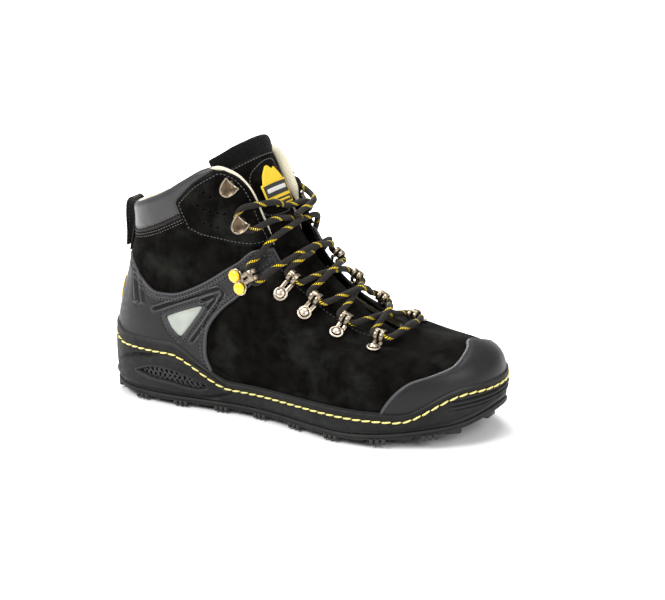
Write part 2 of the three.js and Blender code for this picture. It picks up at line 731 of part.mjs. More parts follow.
function lacePath() {
  // Per side, the rows of tunnels from the toe up, each with the fan column of its tunnel.
  const rows = {};
  for (const side of [-1, 1]) {
    rows[side] = LACE_LOOPS.map((place) => ({
      run: tunnelRun(place, side, LOOP_LIFT),
      u: place.tunnel[0],
    }));
    rows[side].push({ run: tunnelRun(ANKLE_HOOK, side, STRAP_LIFT), u: ANKLE_HOOK.tunnel[0] });
  }
  const hookColumn = SPEED_HOOKS[1][0][0] + 0.3;

  // One half of the lace, from the toe bar up to its end, starting on one side.
  const half = (startSide, finishColumn, finish) => {
    const points = [];
    for (let row = 0; row < rows[1].length; row++) {
      const side = row % 2 ? -startSide : startSide;
      const { run, u } = rows[side][row];
      const next = rows[-side][row + 1];
      points.push(...run);
      points.push(...crossing({
        from: run[2],
        fromU: u,
        to: next ? next.run[0] : finish[0],
        toU: next ? next.u : finishColumn,
        side,
        high: startSide < 0,
        flank: row >= 3 ? PANEL_FLANK : VAMP_FLANK,
      }));
    }
    return [...points, ...finish];
  };

  const outerHook = roundHook(SPEED_HOOKS[-1][0], -1);
  const innerHook = roundHook(SPEED_HOOKS[1][0], 1);
  const topHook = roundHook(SPEED_HOOKS[1][1], 1);
  const lying = (places) => places.map(([u, v]) => lifted(u, v, 1, TAIL_LIFT));
  const turnPoint = overInstep(downInstep(innerHook[0]) + 2, LACE_TURN_COLUMN, 1, LACE_TURN_LIFT);
  const lastCross = crossing({
    from: outerHook.at(-1),
    fromU: hookColumn,
    to: innerHook[0],
    toU: hookColumn,
    side: -1,
    high: false,
    flank: LAST_FLANK,
    sag: LAST_SAG,
  });
  const outerHalf = half(-1, LACE_TURN_COLUMN, [turnPoint, ...topHook, ...lying(BACK_TAIL)]);
  const innerHalf = half(1, hookColumn, [
    ...outerHook, ...lastCross, ...innerHook, ...lying(FRONT_TAIL),
  ]);
  const toeEnd = downInstep(rows[-1][0].run[0]) + 2;
  const bar = TOE_BAR.map(([u, side, offset]) =>
    overInstep(toeEnd, u, side, offset));
  return [...outerHalf.toReversed(), ...bar, ...innerHalf];
}

const roundSection = (radius, sides) => new THREE.Shape(Array.from({ length: sides }, (_, k) => {
  const angle = (2 * Math.PI * k) / sides;
  return new THREE.Vector2(radius * Math.cos(angle), radius * Math.sin(angle));
}));

const sweep = (curve, radius, sides, steps) =>
  new THREE.ExtrudeGeometry(roundSection(radius, sides), { steps, extrudePath: curve });

const AGLET = { radius: 1.7, length: 18 };

// A lace tip that carries on straight from the end of the lace.
function agletGeometry(end, before) {
  const ahead = end.clone().sub(before).normalize();
  const start = end.clone().addScaledVector(ahead, GAP);
  const matrix = new THREE.Matrix4().makeTranslation(...start.toArray());
  const turn = new THREE.Quaternion().setFromUnitVectors(new THREE.Vector3(0, 0, 1), ahead);
  return cylinder(AGLET.radius, 0, AGLET.length, 8)
    .applyQuaternion(turn)
    .applyMatrix4(matrix);
}

// ---------------------------------------------------------------- heel furniture

const BADGE = { halfWidth: 14, low: 66, high: 83 };
// Side-view [x, z] places of the heel pull, from its sewn foot up to its fold over the collar.
const PULL_LOOP = {
  halfWidth: 7,
  strap: 1.7,
  front: [[-33, 103], [-28.2, 118], [-25.8, 131]],
  back: [[-33.7, 106], [-32.4, 118], [-32, 131]],
  fold: [[-26.3, 138], [-28.8, 140.6], [-31.2, 138]],
};

// The heel pull: a strap folded into a long loop that stands off the back seam.
function makePullLoop() {
  const { halfWidth, strap, front, back, fold } = PULL_LOOP;
  const outside = [...front, ...fold, ...back.toReversed()];
  const hole = [
    [front[1][0] - strap, 119], [front[2][0] - strap, 131], [fold[1][0], 137.4],
    [back[2][0] + strap, 131], [back[1][0] + strap, 119],
  ];
  const solid = (outline, reach) => across(outline, { from: -reach, to: reach });
  return solid(outside, halfWidth).subtract(solid(hole, halfWidth + 2));
}

// ---------------------------------------------------------------- assembly

const parts = [];
const addPart = (name, geometry, material, matrix) => {
  const mesh = new THREE.Mesh(geometry, MATERIALS[material]);
  mesh.name = name;
  if (matrix) matrix.decompose(mesh.position, mesh.quaternion, mesh.scale);
  parts.push(mesh);
};
const addSolid = (name, solid, material, matrix) => addPart(name, toGeometry(solid), material, matrix);

const SIDES = [
  { name: "lateral", letter: "L", side: -1, span: OUTER_SIDE },
  { name: "medial", letter: "M", side: 1, span: INNER_SIDE },
];

// Shank holes for one riveted piece, as solids in the boot's frame.
function drilled(place, side, lift, offsets) {
  const { matrix } = hardwareFrame(place, side, lift);
  return offsets.map((y) =>
    toSolid(cylinder(RIVET_HOLE, -9, 2).translate(0, y, 0).applyMatrix4(matrix)));
}

const ANKLE_RIVETS = [-4.6, 4.6]; // places along the ankle hook's plate
const LOOP_FORM = {
  pad: roundPad(),
  holes: [0],
  headRadius: SMALL_RIVET.head,
  length: LOOP_LENGTH,
};
const ANKLE_FORM = {
  pad: longPad(),
  holes: ANKLE_RIVETS,
  headRadius: BROAD_RIVET.head,
  length: ANKLE_LENGTH,
};
const loopHoles = joined(SIDES.flatMap(({ side }) =>
  LACE_LOOPS.flatMap((place) => drilled(place, side, LOOP_LIFT, [0]))));
const ankleHoles = joined(SIDES.flatMap(({ side }) =>
  drilled(ANKLE_HOOK, side, STRAP_LIFT, ANKLE_RIVETS)));

// The rows of small three-cornered air holes through the eyelet panel.
const AIR_HOLES = [
  [58, 161.6], [62.7, 158.8], [51.9, 151.9], [57.3, 149.9], [62.3, 148.6], [67.4, 147.8], [72.5, 147],
  [51.2, 140.8], [56.6, 139.6], [62.1, 138.6], [67.6, 137.6],
];
const airHoles = joined(AIR_HOLES.map(([x, z]) =>
  across([[x - 1.1, z - 0.9], [x + 1.1, z - 0.9], [x, z + 1.1]])));

addSolid("outsole", makeOutsole(), "rubber");
addSolid("midsole", makeMidsole(), "rubber");
addPart("welt_stitch", new THREE.TubeGeometry(weltStitchCurve(), 56, STITCH_RADIUS, 4, true), "thread");
addSolid("shank", boxAt(SHANK.center, SHANK.size), "steel");
addSolid("insole_board", grownUpper(-0.6).intersect(floorSlab(GAP, BOARD_TOP)), "board");
addSolid("footbed", grownUpper(LINING_IN - 0.4).intersect(floorSlab(INSIDE_FLOOR, FOOTBED_TOP)), "foam");

const LINING = [
  [-60, 10], [300, 10], [300, 260], [192.4, 260], ...[...THROAT_LOW, ...THROAT_HIGH].map(([x, z]) =>
    [x - 4.5, z - 1]), [64, 174.6], [49.8, 166.1], [33.9, 151.8], [37.4, 142],
  ...COLLAR_SEAM.toReversed().slice(1).map(([x, z]) => [x, z - 0.4]),
];
const TOE_INSERT = [[206, 10], [300, 10], [300, 120], [209, 120]];
const STIFFENER = [[-60, 10], [40, 10], [28, 66], [-60, 86]];
const ANKLE_FOAM = [
  [-60, 87], [28, 67], [52, 80], [64, 106], [84, 120], [84, 128], [60, 132], [36.5, 140],
  ...COLLAR_SEAM.toReversed().slice(1).map(([x, z]) => [x, z - 1]),
];
const padding = (outline) => strip(PADDING_IN, PADDING_OUT, outline);
addSolid("lining", aboveFloor(strip(LINING_IN, LINING_OUT, LINING), INSIDE_FLOOR), "lining");
addSolid("toe_cap_insert", aboveFloor(padding(TOE_INSERT), INSIDE_FLOOR), "shell");
addSolid("heel_stiffener", aboveFloor(padding(STIFFENER), INSIDE_FLOOR), "board");
addSolid("ankle_foam", padding(ANKLE_FOAM), "foam");

const vamp = aboveFloor(strip(0, LEATHER, VAMP), GAP).subtract(loopHoles).subtract(ankleHoles);
addSolid("vamp", vamp, "nubuck");
for (const { name, span } of SIDES) {
  const quarter = aboveFloor(strip(0, LEATHER, QUARTER, span), GAP).subtract(ankleHoles);
  addSolid("quarter_" + name, quarter, "nubuck");
}
const counter = aboveFloor(strip(OVERLAY_IN, OVERLAY_OUT, COUNTER), 2)
  .subtract(across(grown(REFLECTOR, 1.2)))
  .subtract(ankleHoles);
addSolid("heel_counter", counter, "moulded");
for (const { name, span } of SIDES) {
  addSolid("reflector_" + name, strip(OVERLAY_IN, OVERLAY_OUT - 0.4, REFLECTOR, span), "reflective");
}
addSolid("toe_guard", aboveFloor(strip(OVERLAY_IN, OVERLAY_OUT, TOE_GUARD), 2), "moulded");
for (const { name, span } of SIDES) {
  const panel = strip(OVERLAY_IN, OVERLAY_OUT, EYELET_PANEL, span).subtract(airHoles);
  addSolid("eyelet_panel_" + name, panel, "nubuck");
}
addSolid("collar", strip(-1, 3.2, COLLAR), "collarLeather");
addSolid("collar_lining", strip(LINING_IN, -1.3, COLLAR), "lining");
addSolid("tongue", makeTongue(), "suede");
addSolid("tongue_label", makeTongueLabel(), "patch");
const badgeWindow = boxAt(
  [-40, 0, (BADGE.low + BADGE.high) / 2],
  [60, 2 * BADGE.halfWidth, BADGE.high - BADGE.low],
);
const badge = shell(OVERLAY_OUT + GAP, OVERLAY_OUT + GAP + 1).intersect(badgeWindow);
addSolid("heel_badge", badge, "patch");
addSolid("pull_loop", makePullLoop(), "suede");

for (const { letter, name, side } of SIDES) {
  LACE_LOOPS.forEach((place, k) => {
    const loopFrame = hardwareFrame(place, side, LOOP_LIFT);
    const label = letter + (k + 1);
    addSolid("lace_loop_" + label, makeLaceLoop(loopFrame, LOOP_FORM), "nickel", loopFrame.matrix);
    addPart("loop_rivet_" + label, rivetGeometry(SMALL_RIVET), "nickel", loopFrame.matrix);
  });
  const frame = hardwareFrame(ANKLE_HOOK, side, STRAP_LIFT);
  addSolid("ankle_hook_" + name, makeLaceLoop(frame, ANKLE_FORM), "nickel", frame.matrix);
  ANKLE_RIVETS.forEach((y, k) => {
    const matrix = frame.matrix.clone().multiply(new THREE.Matrix4().makeTranslation(0, y, 0));
    addPart("ankle_rivet_" + letter + (k + 1), rivetGeometry(BROAD_RIVET), "yellowRivet", matrix);
  });
  SPEED_HOOKS[side].forEach((place, k) => {
    addPart("speed_hook_" + letter + (k + 1), speedHookGeometry(), "nickel", hookFrame(place, side));
  });
}

const LACE_STEPS = 150;
const laceCurve = new THREE.CatmullRomCurve3(lacePath(), false, "centripetal");
addPart("lace", sweep(laceCurve, LACE_RADIUS, 5, LACE_STEPS), "cord");
const agletAt = (end, before) =>
  agletGeometry(laceCurve.getPointAt(end), laceCurve.getPointAt(before));
addPart("aglet_front", agletAt(0, 0.002), "moulded");
addPart("aglet_back", agletAt(1, 0.998), "moulded");

const boot = new THREE.Group();
boot.add(...parts);
export default boot;
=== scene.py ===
"""The looks of a right-foot safety hiking boot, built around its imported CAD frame.

Lengths are millimetres in the CAD frame until a mesh is written: +X points to the toe, +Y to the
inner side of the foot and +Z up, and the origin is on the ground under the heel. Most pieces are
sheets over one surface, the fan, whose columns run from the heel back to the front ridge.
"""

import math

import bpy
import numpy as np
from mathutils import Matrix, Vector
from mathutils.kdtree import KDTree


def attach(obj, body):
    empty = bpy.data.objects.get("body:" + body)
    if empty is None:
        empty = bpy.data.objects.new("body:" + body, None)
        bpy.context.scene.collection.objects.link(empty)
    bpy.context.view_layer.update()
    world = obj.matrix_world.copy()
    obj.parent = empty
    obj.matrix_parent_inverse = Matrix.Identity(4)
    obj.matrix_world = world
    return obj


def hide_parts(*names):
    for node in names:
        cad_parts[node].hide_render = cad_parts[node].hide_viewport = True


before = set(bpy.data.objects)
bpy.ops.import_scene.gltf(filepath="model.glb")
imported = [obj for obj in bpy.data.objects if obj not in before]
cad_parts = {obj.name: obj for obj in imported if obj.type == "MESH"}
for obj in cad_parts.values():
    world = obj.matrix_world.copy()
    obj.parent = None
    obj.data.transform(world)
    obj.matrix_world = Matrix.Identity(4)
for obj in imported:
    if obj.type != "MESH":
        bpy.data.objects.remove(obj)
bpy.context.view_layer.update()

MM = 0.001
BOOT = "boot"


# ---------------------------------------------------------------- the fan surface

# Each row is one level of half of the boot and holds [x, half width, z] from the heel back round to
# the front ridge: heel back, heel corner, heel side, waist, ball, shoulder, ridge.
FAN = np.array([
    [[-36, 0, 20], [-27, 21, 20], [8, 33, 20], [88, 36, 20],
     [180, 51, 20], [236, 32, 20], [252, 0, 20]],
    [[-38, 0, 42], [-30, 23.5, 42], [8, 37, 42], [90, 39, 40],
     [180, 54, 38], [238, 35, 39], [256, 0, 40]],
    [[-36.5, 0, 58], [-28, 22.5, 58], [8, 36.5, 57], [90, 39, 51],
     [175, 51, 50], [233, 33, 52], [252, 0, 54]],
    [[-33, 0, 74], [-24.5, 21, 73], [9, 35, 72], [85, 38, 64],
     [162, 46, 60], [214, 27, 58.5], [236, 0, 62.5]],
    [[-29, 0, 90], [-20, 19.5, 89], [9, 33, 88], [76, 36, 80],
     [138, 40, 71], [172, 24, 64.5], [190, 0, 66.8]],
    [[-25.5, 0, 104], [-16.5, 19, 104], [9, 31.5, 104], [64, 35, 101],
     [110, 36, 91], [130, 22, 92], [141, 0, 95]],
    [[-22, 0, 118], [-14, 19, 119], [9, 31, 120], [52, 34, 124],
     [86, 34, 121], [103.5, 23, 129], [108, 0, 130]],
    [[-20, 0, 132], [-12.5, 20, 134], [8, 33, 138], [40, 36, 150],
     [66, 36, 160], [84.5, 25.5, 169], [88, 0, 172]],
    [[-21, 0, 150], [-13, 21, 152], [6, 34, 160], [32, 37, 174],
     [54, 38, 188], [74, 28.5, 199], [78, 0, 203]],
], float)
SOLE_EDGE = np.array([[-44, 0], [-33.5, 27], [5, 40.5], [90, 40], [180, 58.5], [243, 34], [260, 0]], float)

RIDGE = 6  # fan column of the front ridge
AROUND = 2 * RIDGE  # columns right round the boot: the outer side up to the ridge, then the inner side
TOP_ROW = len(FAN) - 1
OUTER = -1  # the two sides of the foot, as the sign of y
INNER = 1

LEATHER = 1.8
OVERLAY_IN = 2.1  # offsets of the layers from the upper surface
OVERLAY_OUT = 3.9
LINING_IN = -4.6
LINING_OUT = -2.6
PADDING_IN = -2.3
LUG_HEIGHT = 4
PLATE = 4  # outsole thickness above the tread
TOE_BEND = 5  # how far the toe turns to the inner side
TOE_SPRING = 12
SPRING_START = 150
SPRING_LENGTH = 112
HEEL_BEVEL = 3
TOE_BEVEL = 5
TOE_BEVEL_START = 238
HEEL_CUP = 5  # extra height of the rand at the back of the heel
FLOOR = 17.3  # underside of the insole board
INSIDE_FLOOR = 2.8  # top of the insole board, above FLOOR
GAP = 0.3
HALVINGS = 24  # steps of each search by halving


def smooth_step(low, high, value):
    t = np.clip((value - low) / (high - low), 0, 1)
    return t * t * (3 - 2 * t)


def bump(value, center, width):
    """A round bump of height 1 at center, gone at about two widths from it."""
    return np.exp(-(((value - center) / width) ** 2))


def toe_bend(x):
    return TOE_BEND * np.clip((x - 60) / 200, 0, 1) ** 2


def spring(x):
    return TOE_SPRING * np.maximum(0, (x - SPRING_START) / SPRING_LENGTH) ** 2


def sole_bottom(x):
    heel_bevel = HEEL_BEVEL * np.maximum(0, (-10 - x) / 34) ** 2
    toe_bevel = TOE_BEVEL * np.maximum(0, (x - TOE_BEVEL_START) / 22) ** 2
    return LUG_HEIGHT + spring(x) + heel_bevel + toe_bevel


def floor_height(x):
    return FLOOR + spring(x)


def rand_top(x):
    heel_cup = HEEL_CUP * (1 - smooth_step(-40, -20, x))
    return 24 + 25 * (1 - smooth_step(22, 72, x)) + 19 * smooth_step(208, 252, x) + heel_cup


def stitch_height(x):
    return rand_top(x) - 4.5 - 4 * (1 - smooth_step(22, 72, x))


def closed_fan():
    """The fan right round the boot, with one more row carried straight on at each end."""
    ring = np.concatenate([FAN * (1, OUTER, 1), FAN[:, RIDGE - 1:0:-1]], axis=1)
    below = 2 * ring[:1] - ring[1:2]
    above = 2 * ring[-1:] - ring[-2:-1]
    return np.concatenate([below, ring, above])


CLOSED_FAN = closed_fan()


def spline_weights(t):
    """Catmull-Rom weights of four neighbours, and the weights of the slope."""
    t = t[..., None]
    value = [-t**3 + 2 * t**2 - t, 3 * t**3 - 5 * t**2 + 2, -3 * t**3 + 4 * t**2 + t, t**3 - t**2]
    slope = [-3 * t**2 + 4 * t - 1, 9 * t**2 - 10 * t, -9 * t**2 + 8 * t + 1, 3 * t**2 - 2 * t]
    return np.concatenate(value, -1) / 2, np.concatenate(slope, -1) / 2


def unit(vectors):
    return vectors / np.maximum(np.linalg.norm(vectors, axis=-1, keepdims=True), 1e-9)


def upper(c, v):
    """Points and outward normals of the upper at place c round the boot and row v."""
    c, v = np.broadcast_arrays(np.asarray(c, float), np.asarray(v, float))
    column = np.floor(c).astype(int)
    row = np.clip(np.floor(v).astype(int), 0, TOP_ROW - 1)
    wide, wide_slope = spline_weights(c - column)
    high, high_slope = spline_weights(v - row)
    steps = np.arange(4)
    rows = (row[..., None] + steps)[..., :, None]
    columns = ((column[..., None] + steps - 1) % AROUND)[..., None, :]
    patch = CLOSED_FAN[rows, columns]
    point, along, rise = (
        np.einsum("...i,...j,...ijk->...k", rows_share, columns_share, patch)
        for rows_share, columns_share in ((high, wide), (high, wide_slope), (high_slope, wide))
    )
    turn = toe_bend(point[..., 0] + 0.5) - toe_bend(point[..., 0] - 0.5)
    along[..., 1] += turn * along[..., 0]
    rise[..., 1] += turn * rise[..., 0]
    point[..., 1] += toe_bend(point[..., 0])
    return point, unit(np.cross(along, rise))


def on_side(u, side):
    """Place round the boot of fan column u on one side."""
    return u if side == OUTER else AROUND - u


def lifted(c, v, offset):
    point, normal = upper(c, v)
    return point + normal * np.asarray(offset, float)[..., None]


def sole_edge(c, inset, height):
    """Points on the edge of the sole, drawn in by inset, at height(x)."""
    inner = c > RIDGE
    u = np.where(inner, AROUND - c, c)
    column = np.minimum(np.floor(u).astype(int), RIDGE - 1)
    index = column[:, None] + np.arange(-1, 3)
    folded = np.where(index < 0, -index, np.where(index > RIDGE, 2 * RIDGE - index, index))
    near = SOLE_EDGE[folded]
    near[..., 1] *= np.where(folded == index, 1, -1)
    value, slope = spline_weights(u - column)
    x, w = np.einsum("ni,nik->kn", value, near)
    dx, dw = np.einsum("ni,nik->kn", slope, near)
    length = np.hypot(dx, dw)
    px = x + inset * dw / length
    pw = w - inset * dx / length
    y = np.where(inner, pw, -pw) + toe_bend(px)
    return np.stack([px, y, height(px)], -1)


def rand_ring(c, offset, height):
    """Points of the upper at height(x), stood off by offset."""
    low = np.full(len(c), -0.5)
    high = np.full(len(c), 4.0)
    for _ in range(HALVINGS):
        middle = (low + high) / 2
        p = lifted(c, middle, offset)
        under = p[:, 2] < height(p[:, 0])
        low = np.where(under, middle, low)
        high = np.where(under, high, middle)
    return lifted(c, low, offset)


# ---------------------------------------------------------------- meshes

def build(name, points, faces, look, replaces=None, body=BOOT, slot=None, layers=None):
    """One finished piece from points in millimetres and lists of faces with equal corner counts.

    The piece stands for the CAD node that `replaces` names.
    """
    groups = [np.asarray(group, int).reshape(-1, len(group[0])) for group in faces if len(group)]
    corners = np.concatenate([group.ravel() for group in groups])
    counts = np.concatenate([np.full(len(group), group.shape[1]) for group in groups])
    mesh = bpy.data.meshes.new(name)
    mesh.vertices.add(len(points))
    mesh.vertices.foreach_set("co", (np.asarray(points) * MM).astype(np.float32).ravel())
    mesh.loops.add(len(corners))
    mesh.loops.foreach_set("vertex_index", corners.astype(np.int32))
    mesh.polygons.add(len(counts))
    starts = np.concatenate([[0], np.cumsum(counts)[:-1]])
    mesh.polygons.foreach_set("loop_start", starts.astype(np.int32))
    mesh.update(calc_edges=True)
    mesh.shade_smooth()
    for layer, values in (layers or {}).items():
        attribute = mesh.attributes.new(layer, "FLOAT", "POINT")
        attribute.data.foreach_set("value", np.asarray(values, np.float32))
    piece = bpy.data.objects.new(name, mesh)
    bpy.context.scene.collection.objects.link(piece)
    mesh.materials.append(LOOKS[look])
    slot or look
    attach(piece, body)
    if replaces:
        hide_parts(replaces)
    return piece


def merged(parts):
    """Several (points, face groups) as one."""
    points = []
    faces = []
    count = 0
    for part_points, part_faces in parts:
        points.append(part_points)
        faces += [np.asarray(group) + count for group in part_faces if len(group)]
        count += len(part_points)
    by_size = {}
    for group in faces:
        by_size.setdefault(group.shape[1], []).append(group)
    return np.concatenate(points), [np.concatenate(groups) for groups in by_size.values()]


def grid_quads(rows, columns, closed=False):
    """Quads of a grid of points, facing out when columns run anticlockwise and rows run up."""
    index = np.arange(rows * columns).reshape(rows, columns)
    if closed:
        index = np.concatenate([index, index[:, :1]], axis=1)
    return np.stack([index[:-1, :-1], index[:-1, 1:], index[1:, 1:], index[1:, :-1]], -1).reshape(-1, 4)


def grid_rim(rows, columns):
    """The outermost points of a grid in order, and the one after each."""
    index = np.arange(rows * columns).reshape(rows, columns)
    rim = np.concatenate([index[0, :-1], index[:-1, -1], index[-1, :0:-1], index[:0:-1, 0]])
    return rim, np.roll(rim, -1)


def tube_faces(rows, sides):
    """Faces of a closed tube of rings, with a flat cap on its first and its last ring."""
    ring = np.arange(sides)[None]
    return [grid_quads(rows, sides, closed=True), ring[:, ::-1], (rows - 1) * sides + ring]


def slab(points, normals, faces, rim, top, bottom):
    """A sheet of faces as a closed body between two offsets along its normals."""
    count = len(points)
    layers = [points + normals * np.broadcast_to(offset, count)[:, None] for offset in (top, bottom)]
    start, end = rim.T
    walls = np.stack([end, start, start + count, end + count], -1)
    return merged([(np.concatenate(layers), [*faces, *(group[:, ::-1] + count for group in faces), walls])])


def travelled(path):
    """Distance along a path at each of its points."""
    return np.concatenate([[0], np.cumsum(np.linalg.norm(np.diff(path, axis=0), axis=1))])


def sweep(path, radius, sides=12, up=None, flat=1.0):
    """A closed tube along a path, with the distance along it and the turn round it at each point."""
    path = np.asarray(path, float)
    radius = np.broadcast_to(np.asarray(radius, float), len(path))
    tangent = unit(np.gradient(path, axis=0))
    if up is None:
        side = np.zeros_like(path)
        side[0] = np.cross(tangent[0], [0.3, 0.2, 1.0])
        for k in range(1, len(path)):
            side[k] = side[k - 1] - tangent[k] * (side[k - 1] @ tangent[k])
        side = unit(side)
    else:
        side = unit(np.cross(tangent, up))
    other = np.cross(side, tangent)
    turn = np.linspace(0, 2 * np.pi, sides, endpoint=False)
    across = side[:, None] * np.cos(turn)[:, None] + flat * other[:, None] * np.sin(turn)[:, None]
    points = path[:, None] + across * radius[:, None, None]
    body = (points.reshape(-1, 3), tube_faces(len(path), sides))
    return body, np.repeat(travelled(path), sides), np.tile(turn, len(path))


def smooth_path(points, step=1.0, closed=False):
    """A centripetal Catmull-Rom curve through points, sampled about every step millimetres."""
    points = np.asarray(points, float)
    if closed:
        padded = np.concatenate([points[-1:], points, points[:2]])
    else:
        padded = np.concatenate([2 * points[:1] - points[1:2], points, 2 * points[-1:] - points[-2:-1]])
    samples = []
    for a, b, c, d in zip(padded[:-3], padded[1:-2], padded[2:-1], padded[3:]):
        ab, bc, cd = (max(np.linalg.norm(q - p), 1e-6) ** 0.5 for p, q in ((a, b), (b, c), (c, d)))
        leave = ((b - a) / ab - (c - a) / (ab + bc) + (c - b) / bc) * bc
        arrive = ((c - b) / bc - (d - b) / (bc + cd) + (d - c) / cd) * bc
        count = max(2, int(np.linalg.norm(c - b) / step) + 1)
        t = np.linspace(0, 1, count, endpoint=False)[:, None]
        samples.append(b + leave * t + (-3 * b + 3 * c - 2 * leave - arrive) * t**2
                       + (2 * b - 2 * c + leave + arrive) * t**3)
    if not closed:
        samples.append(points[-1:])
    return np.concatenate(samples)


def evenly(path, step):
    """A path resampled at equal distances."""
    lengths = travelled(path)
    count = max(2, int(round(lengths[-1] / step)) + 1)
    places = np.linspace(0, lengths[-1], count)
    return np.stack([np.interp(places, lengths, path[:, k]) for k in range(path.shape[1])], -1)


# ---------------------------------------------------------------- outlines in the side view

def curve(*points):
    """Smooth stretch of an outline through side-view [x, z] points."""
    return smooth_path(points, 1.5)


def outline(*stretches):
    return np.concatenate([np.atleast_2d(np.asarray(s, float)) for s in stretches])


def segment_distance(start, end, x, z):
    """Squared distance from side-view places to one straight stretch."""
    ex, ez = np.subtract(end, start)
    dx = x - start[0]
    dz = z - start[1]
    t = np.clip((dx * ex + dz * ez) / max(ex * ex + ez * ez, 1e-9), 0, 1)
    return (dx - t * ex) ** 2 + (dz - t * ez) ** 2


def inside_distance(shape, x, z):
    """Signed distance from side-view places to a closed outline, positive inside."""
    distance = np.full(x.shape, 1e9)
    inside = np.zeros(x.shape, bool)
    for start, end in zip(shape, np.roll(shape, -1, axis=0)):
        distance = np.minimum(distance, segment_distance(start, end, x, z))
        if start[1] != end[1]:
            crosses = (start[1] > z) != (end[1] > z)
            inside ^= crosses & (x - start[0] < (end[0] - start[0]) * (z - start[1]) / (end[1] - start[1]))
    return np.sqrt(distance) * np.where(inside, 1, -1)


def line_distance(points, x, z):
    """Distance from side-view places to an open line."""
    points = np.asarray(points, float)
    pieces = [segment_distance(start, end, x, z) for start, end in zip(points[:-1], points[1:])]
    return np.sqrt(np.minimum.reduce(pieces))


# ---------------------------------------------------------------- sheets cut from the fan

RIM_REACH = 15  # distances from a rim are not followed further than this


class Sheet:
    """A piece of the fan cut to a side-view outline: its fan places, faces and rim."""

    def __init__(self, shape, c_range, v_range, step, floor_clearance=0.3, holes=(), field=None):
        c, v = fan_grid(c_range, v_range, step)
        point, _ = upper(c[None, :], v[:, None])
        x, _, z = np.moveaxis(point, -1, 0)
        keep = inside_distance(shape, x, z)
        for hole in holes:
            keep = np.minimum(keep, -inside_distance(hole, x, z))
        if floor_clearance is not None:
            keep = np.minimum(keep, z - floor_height(x) - floor_clearance)
        if field is not None:
            keep = np.minimum(keep, field(point))
        places, self.faces = cut_grid(keep)
        self.c = np.interp(places[:, 1], np.arange(len(c)), c)
        self.v = np.interp(places[:, 0], np.arange(len(v)), v)
        self.point, self.normal = upper(self.c, self.v)
        self.rim = rim_edges(self.faces)
        self.x, self.y, self.z = self.point.T
        self.rim_distance = self.distance_to_rim(RIM_REACH)

    def distance_to_rim(self, reach):
        """How far each point is from the cut rim, over the surface, up to reach."""
        ends = self.point[self.rim]
        rim = np.concatenate([ends[:, 0] * (1 - t) + ends[:, 1] * t for t in (0, 0.5)])
        tree = KDTree(len(rim))
        for k, place in enumerate(rim):
            tree.insert(place, k)
        tree.balance()
        found = np.array([tree.find(place)[2] for place in self.point])
        return np.minimum(found, reach)

    def build(self, name, top, bottom, look, replaces):
        """The sheet as a finished closed piece between two offsets from the fan surface."""
        body = slab(self.point, self.normal, self.faces, self.rim, top, bottom)
        return build(name, *body, look, replaces)

    def contour(self, values, level, offset):
        """Lines where values cross a level, as (points, normals) lifted by an offset."""
        lines = []
        stacked = np.concatenate([self.point, self.normal], axis=1)
        for line in contour_lines(self.faces, values, level):
            start, end, share = line
            mixed = stacked[start] * (1 - share)[:, None] + stacked[end] * share[:, None]
            normal = unit(mixed[:, 3:])
            lines.append((mixed[:, :3] + normal * offset, normal))
        return lines


def fan_grid(c_range, v_range, step):
    """Grid lines round and up the fan whose widest spacing is about step millimetres."""
    c = np.linspace(*c_range, 200)
    v = np.linspace(*v_range, 120)
    point, _ = upper(c[None, :], v[:, None])
    round_lengths = np.linalg.norm(np.diff(point, axis=1), axis=-1).sum(1)
    up_length = np.linalg.norm(np.diff(point, axis=0), axis=-1).sum(0).max()
    # Columns are spread by distance along the longest level, so that they stay even in millimetres.
    along = travelled(point[round_lengths.argmax()])
    even = np.interp(np.linspace(0, along[-1], int(round_lengths.max() / step) + 2), along, c)
    return even, np.linspace(*v_range, int(up_length / step) + 2)


def cut_grid(keep):
    """Grid places and faces of the part of a grid where keep is above 0, with a clean cut edge."""
    rows, columns = keep.shape
    down, right = np.gradient(keep)
    steep = down**2 + right**2 + 1e-12
    near = np.abs(keep) / np.sqrt(steep) < 0.3
    i, j = np.mgrid[0:rows, 0:columns].astype(float)
    i = np.where(near, i - keep * down / steep, i)
    j = np.where(near, j - keep * right / steep, j)
    keep = np.where(near, 0, keep)
    places = np.stack([np.clip(i, 0, rows - 1), np.clip(j, 0, columns - 1)], -1).reshape(-1, 2)
    cells = grid_quads(rows, columns)
    value = keep.ravel()
    sign = np.sign(value[cells])
    whole = cells[(sign >= 0).all(1) & (sign > 0).any(1)]
    cut = cells[(sign < 0).any(1) & (sign > 0).any(1)]
    extra = []
    crossing = {}
    polygons = {3: [], 4: [], 5: [], 6: []}
    for cell in cut:
        polygon = []
        for a, b in zip(cell, np.roll(cell, -1)):
            if value[a] >= 0:
                polygon.append(a)
            if value[a] * value[b] < 0:
                key = (min(a, b), max(a, b))
                if key not in crossing:
                    share = value[a] / (value[a] - value[b])
                    crossing[key] = rows * columns + len(extra)
                    extra.append(places[a] * (1 - share) + places[b] * share)
                polygon.append(crossing[key])
        if len(polygon) in polygons:
            polygons[len(polygon)].append(polygon)
    places = np.concatenate([places, np.array(extra).reshape(-1, 2)])
    groups = [whole] + [np.array(polygons[size]) for size in (3, 5, 6) if polygons[size]]
    if polygons[4]:
        groups[0] = np.concatenate([whole, np.array(polygons[4])])
    used = np.unique(np.concatenate([group.ravel() for group in groups]))
    renumber = np.zeros(len(places), int)
    renumber[used] = np.arange(len(used))
    return places[used], [renumber[group] for group in groups]


def face_edges(faces):
    """Every directed edge of every face, with the number of its face."""
    pairs = []
    owners = []
    first = 0
    for group in faces:
        pairs.append(np.stack([group, np.roll(group, -1, axis=1)], -1).reshape(-1, 2))
        owners.append(np.repeat(first + np.arange(len(group)), group.shape[1]))
        first += len(group)
    return np.concatenate(pairs), np.concatenate(owners)


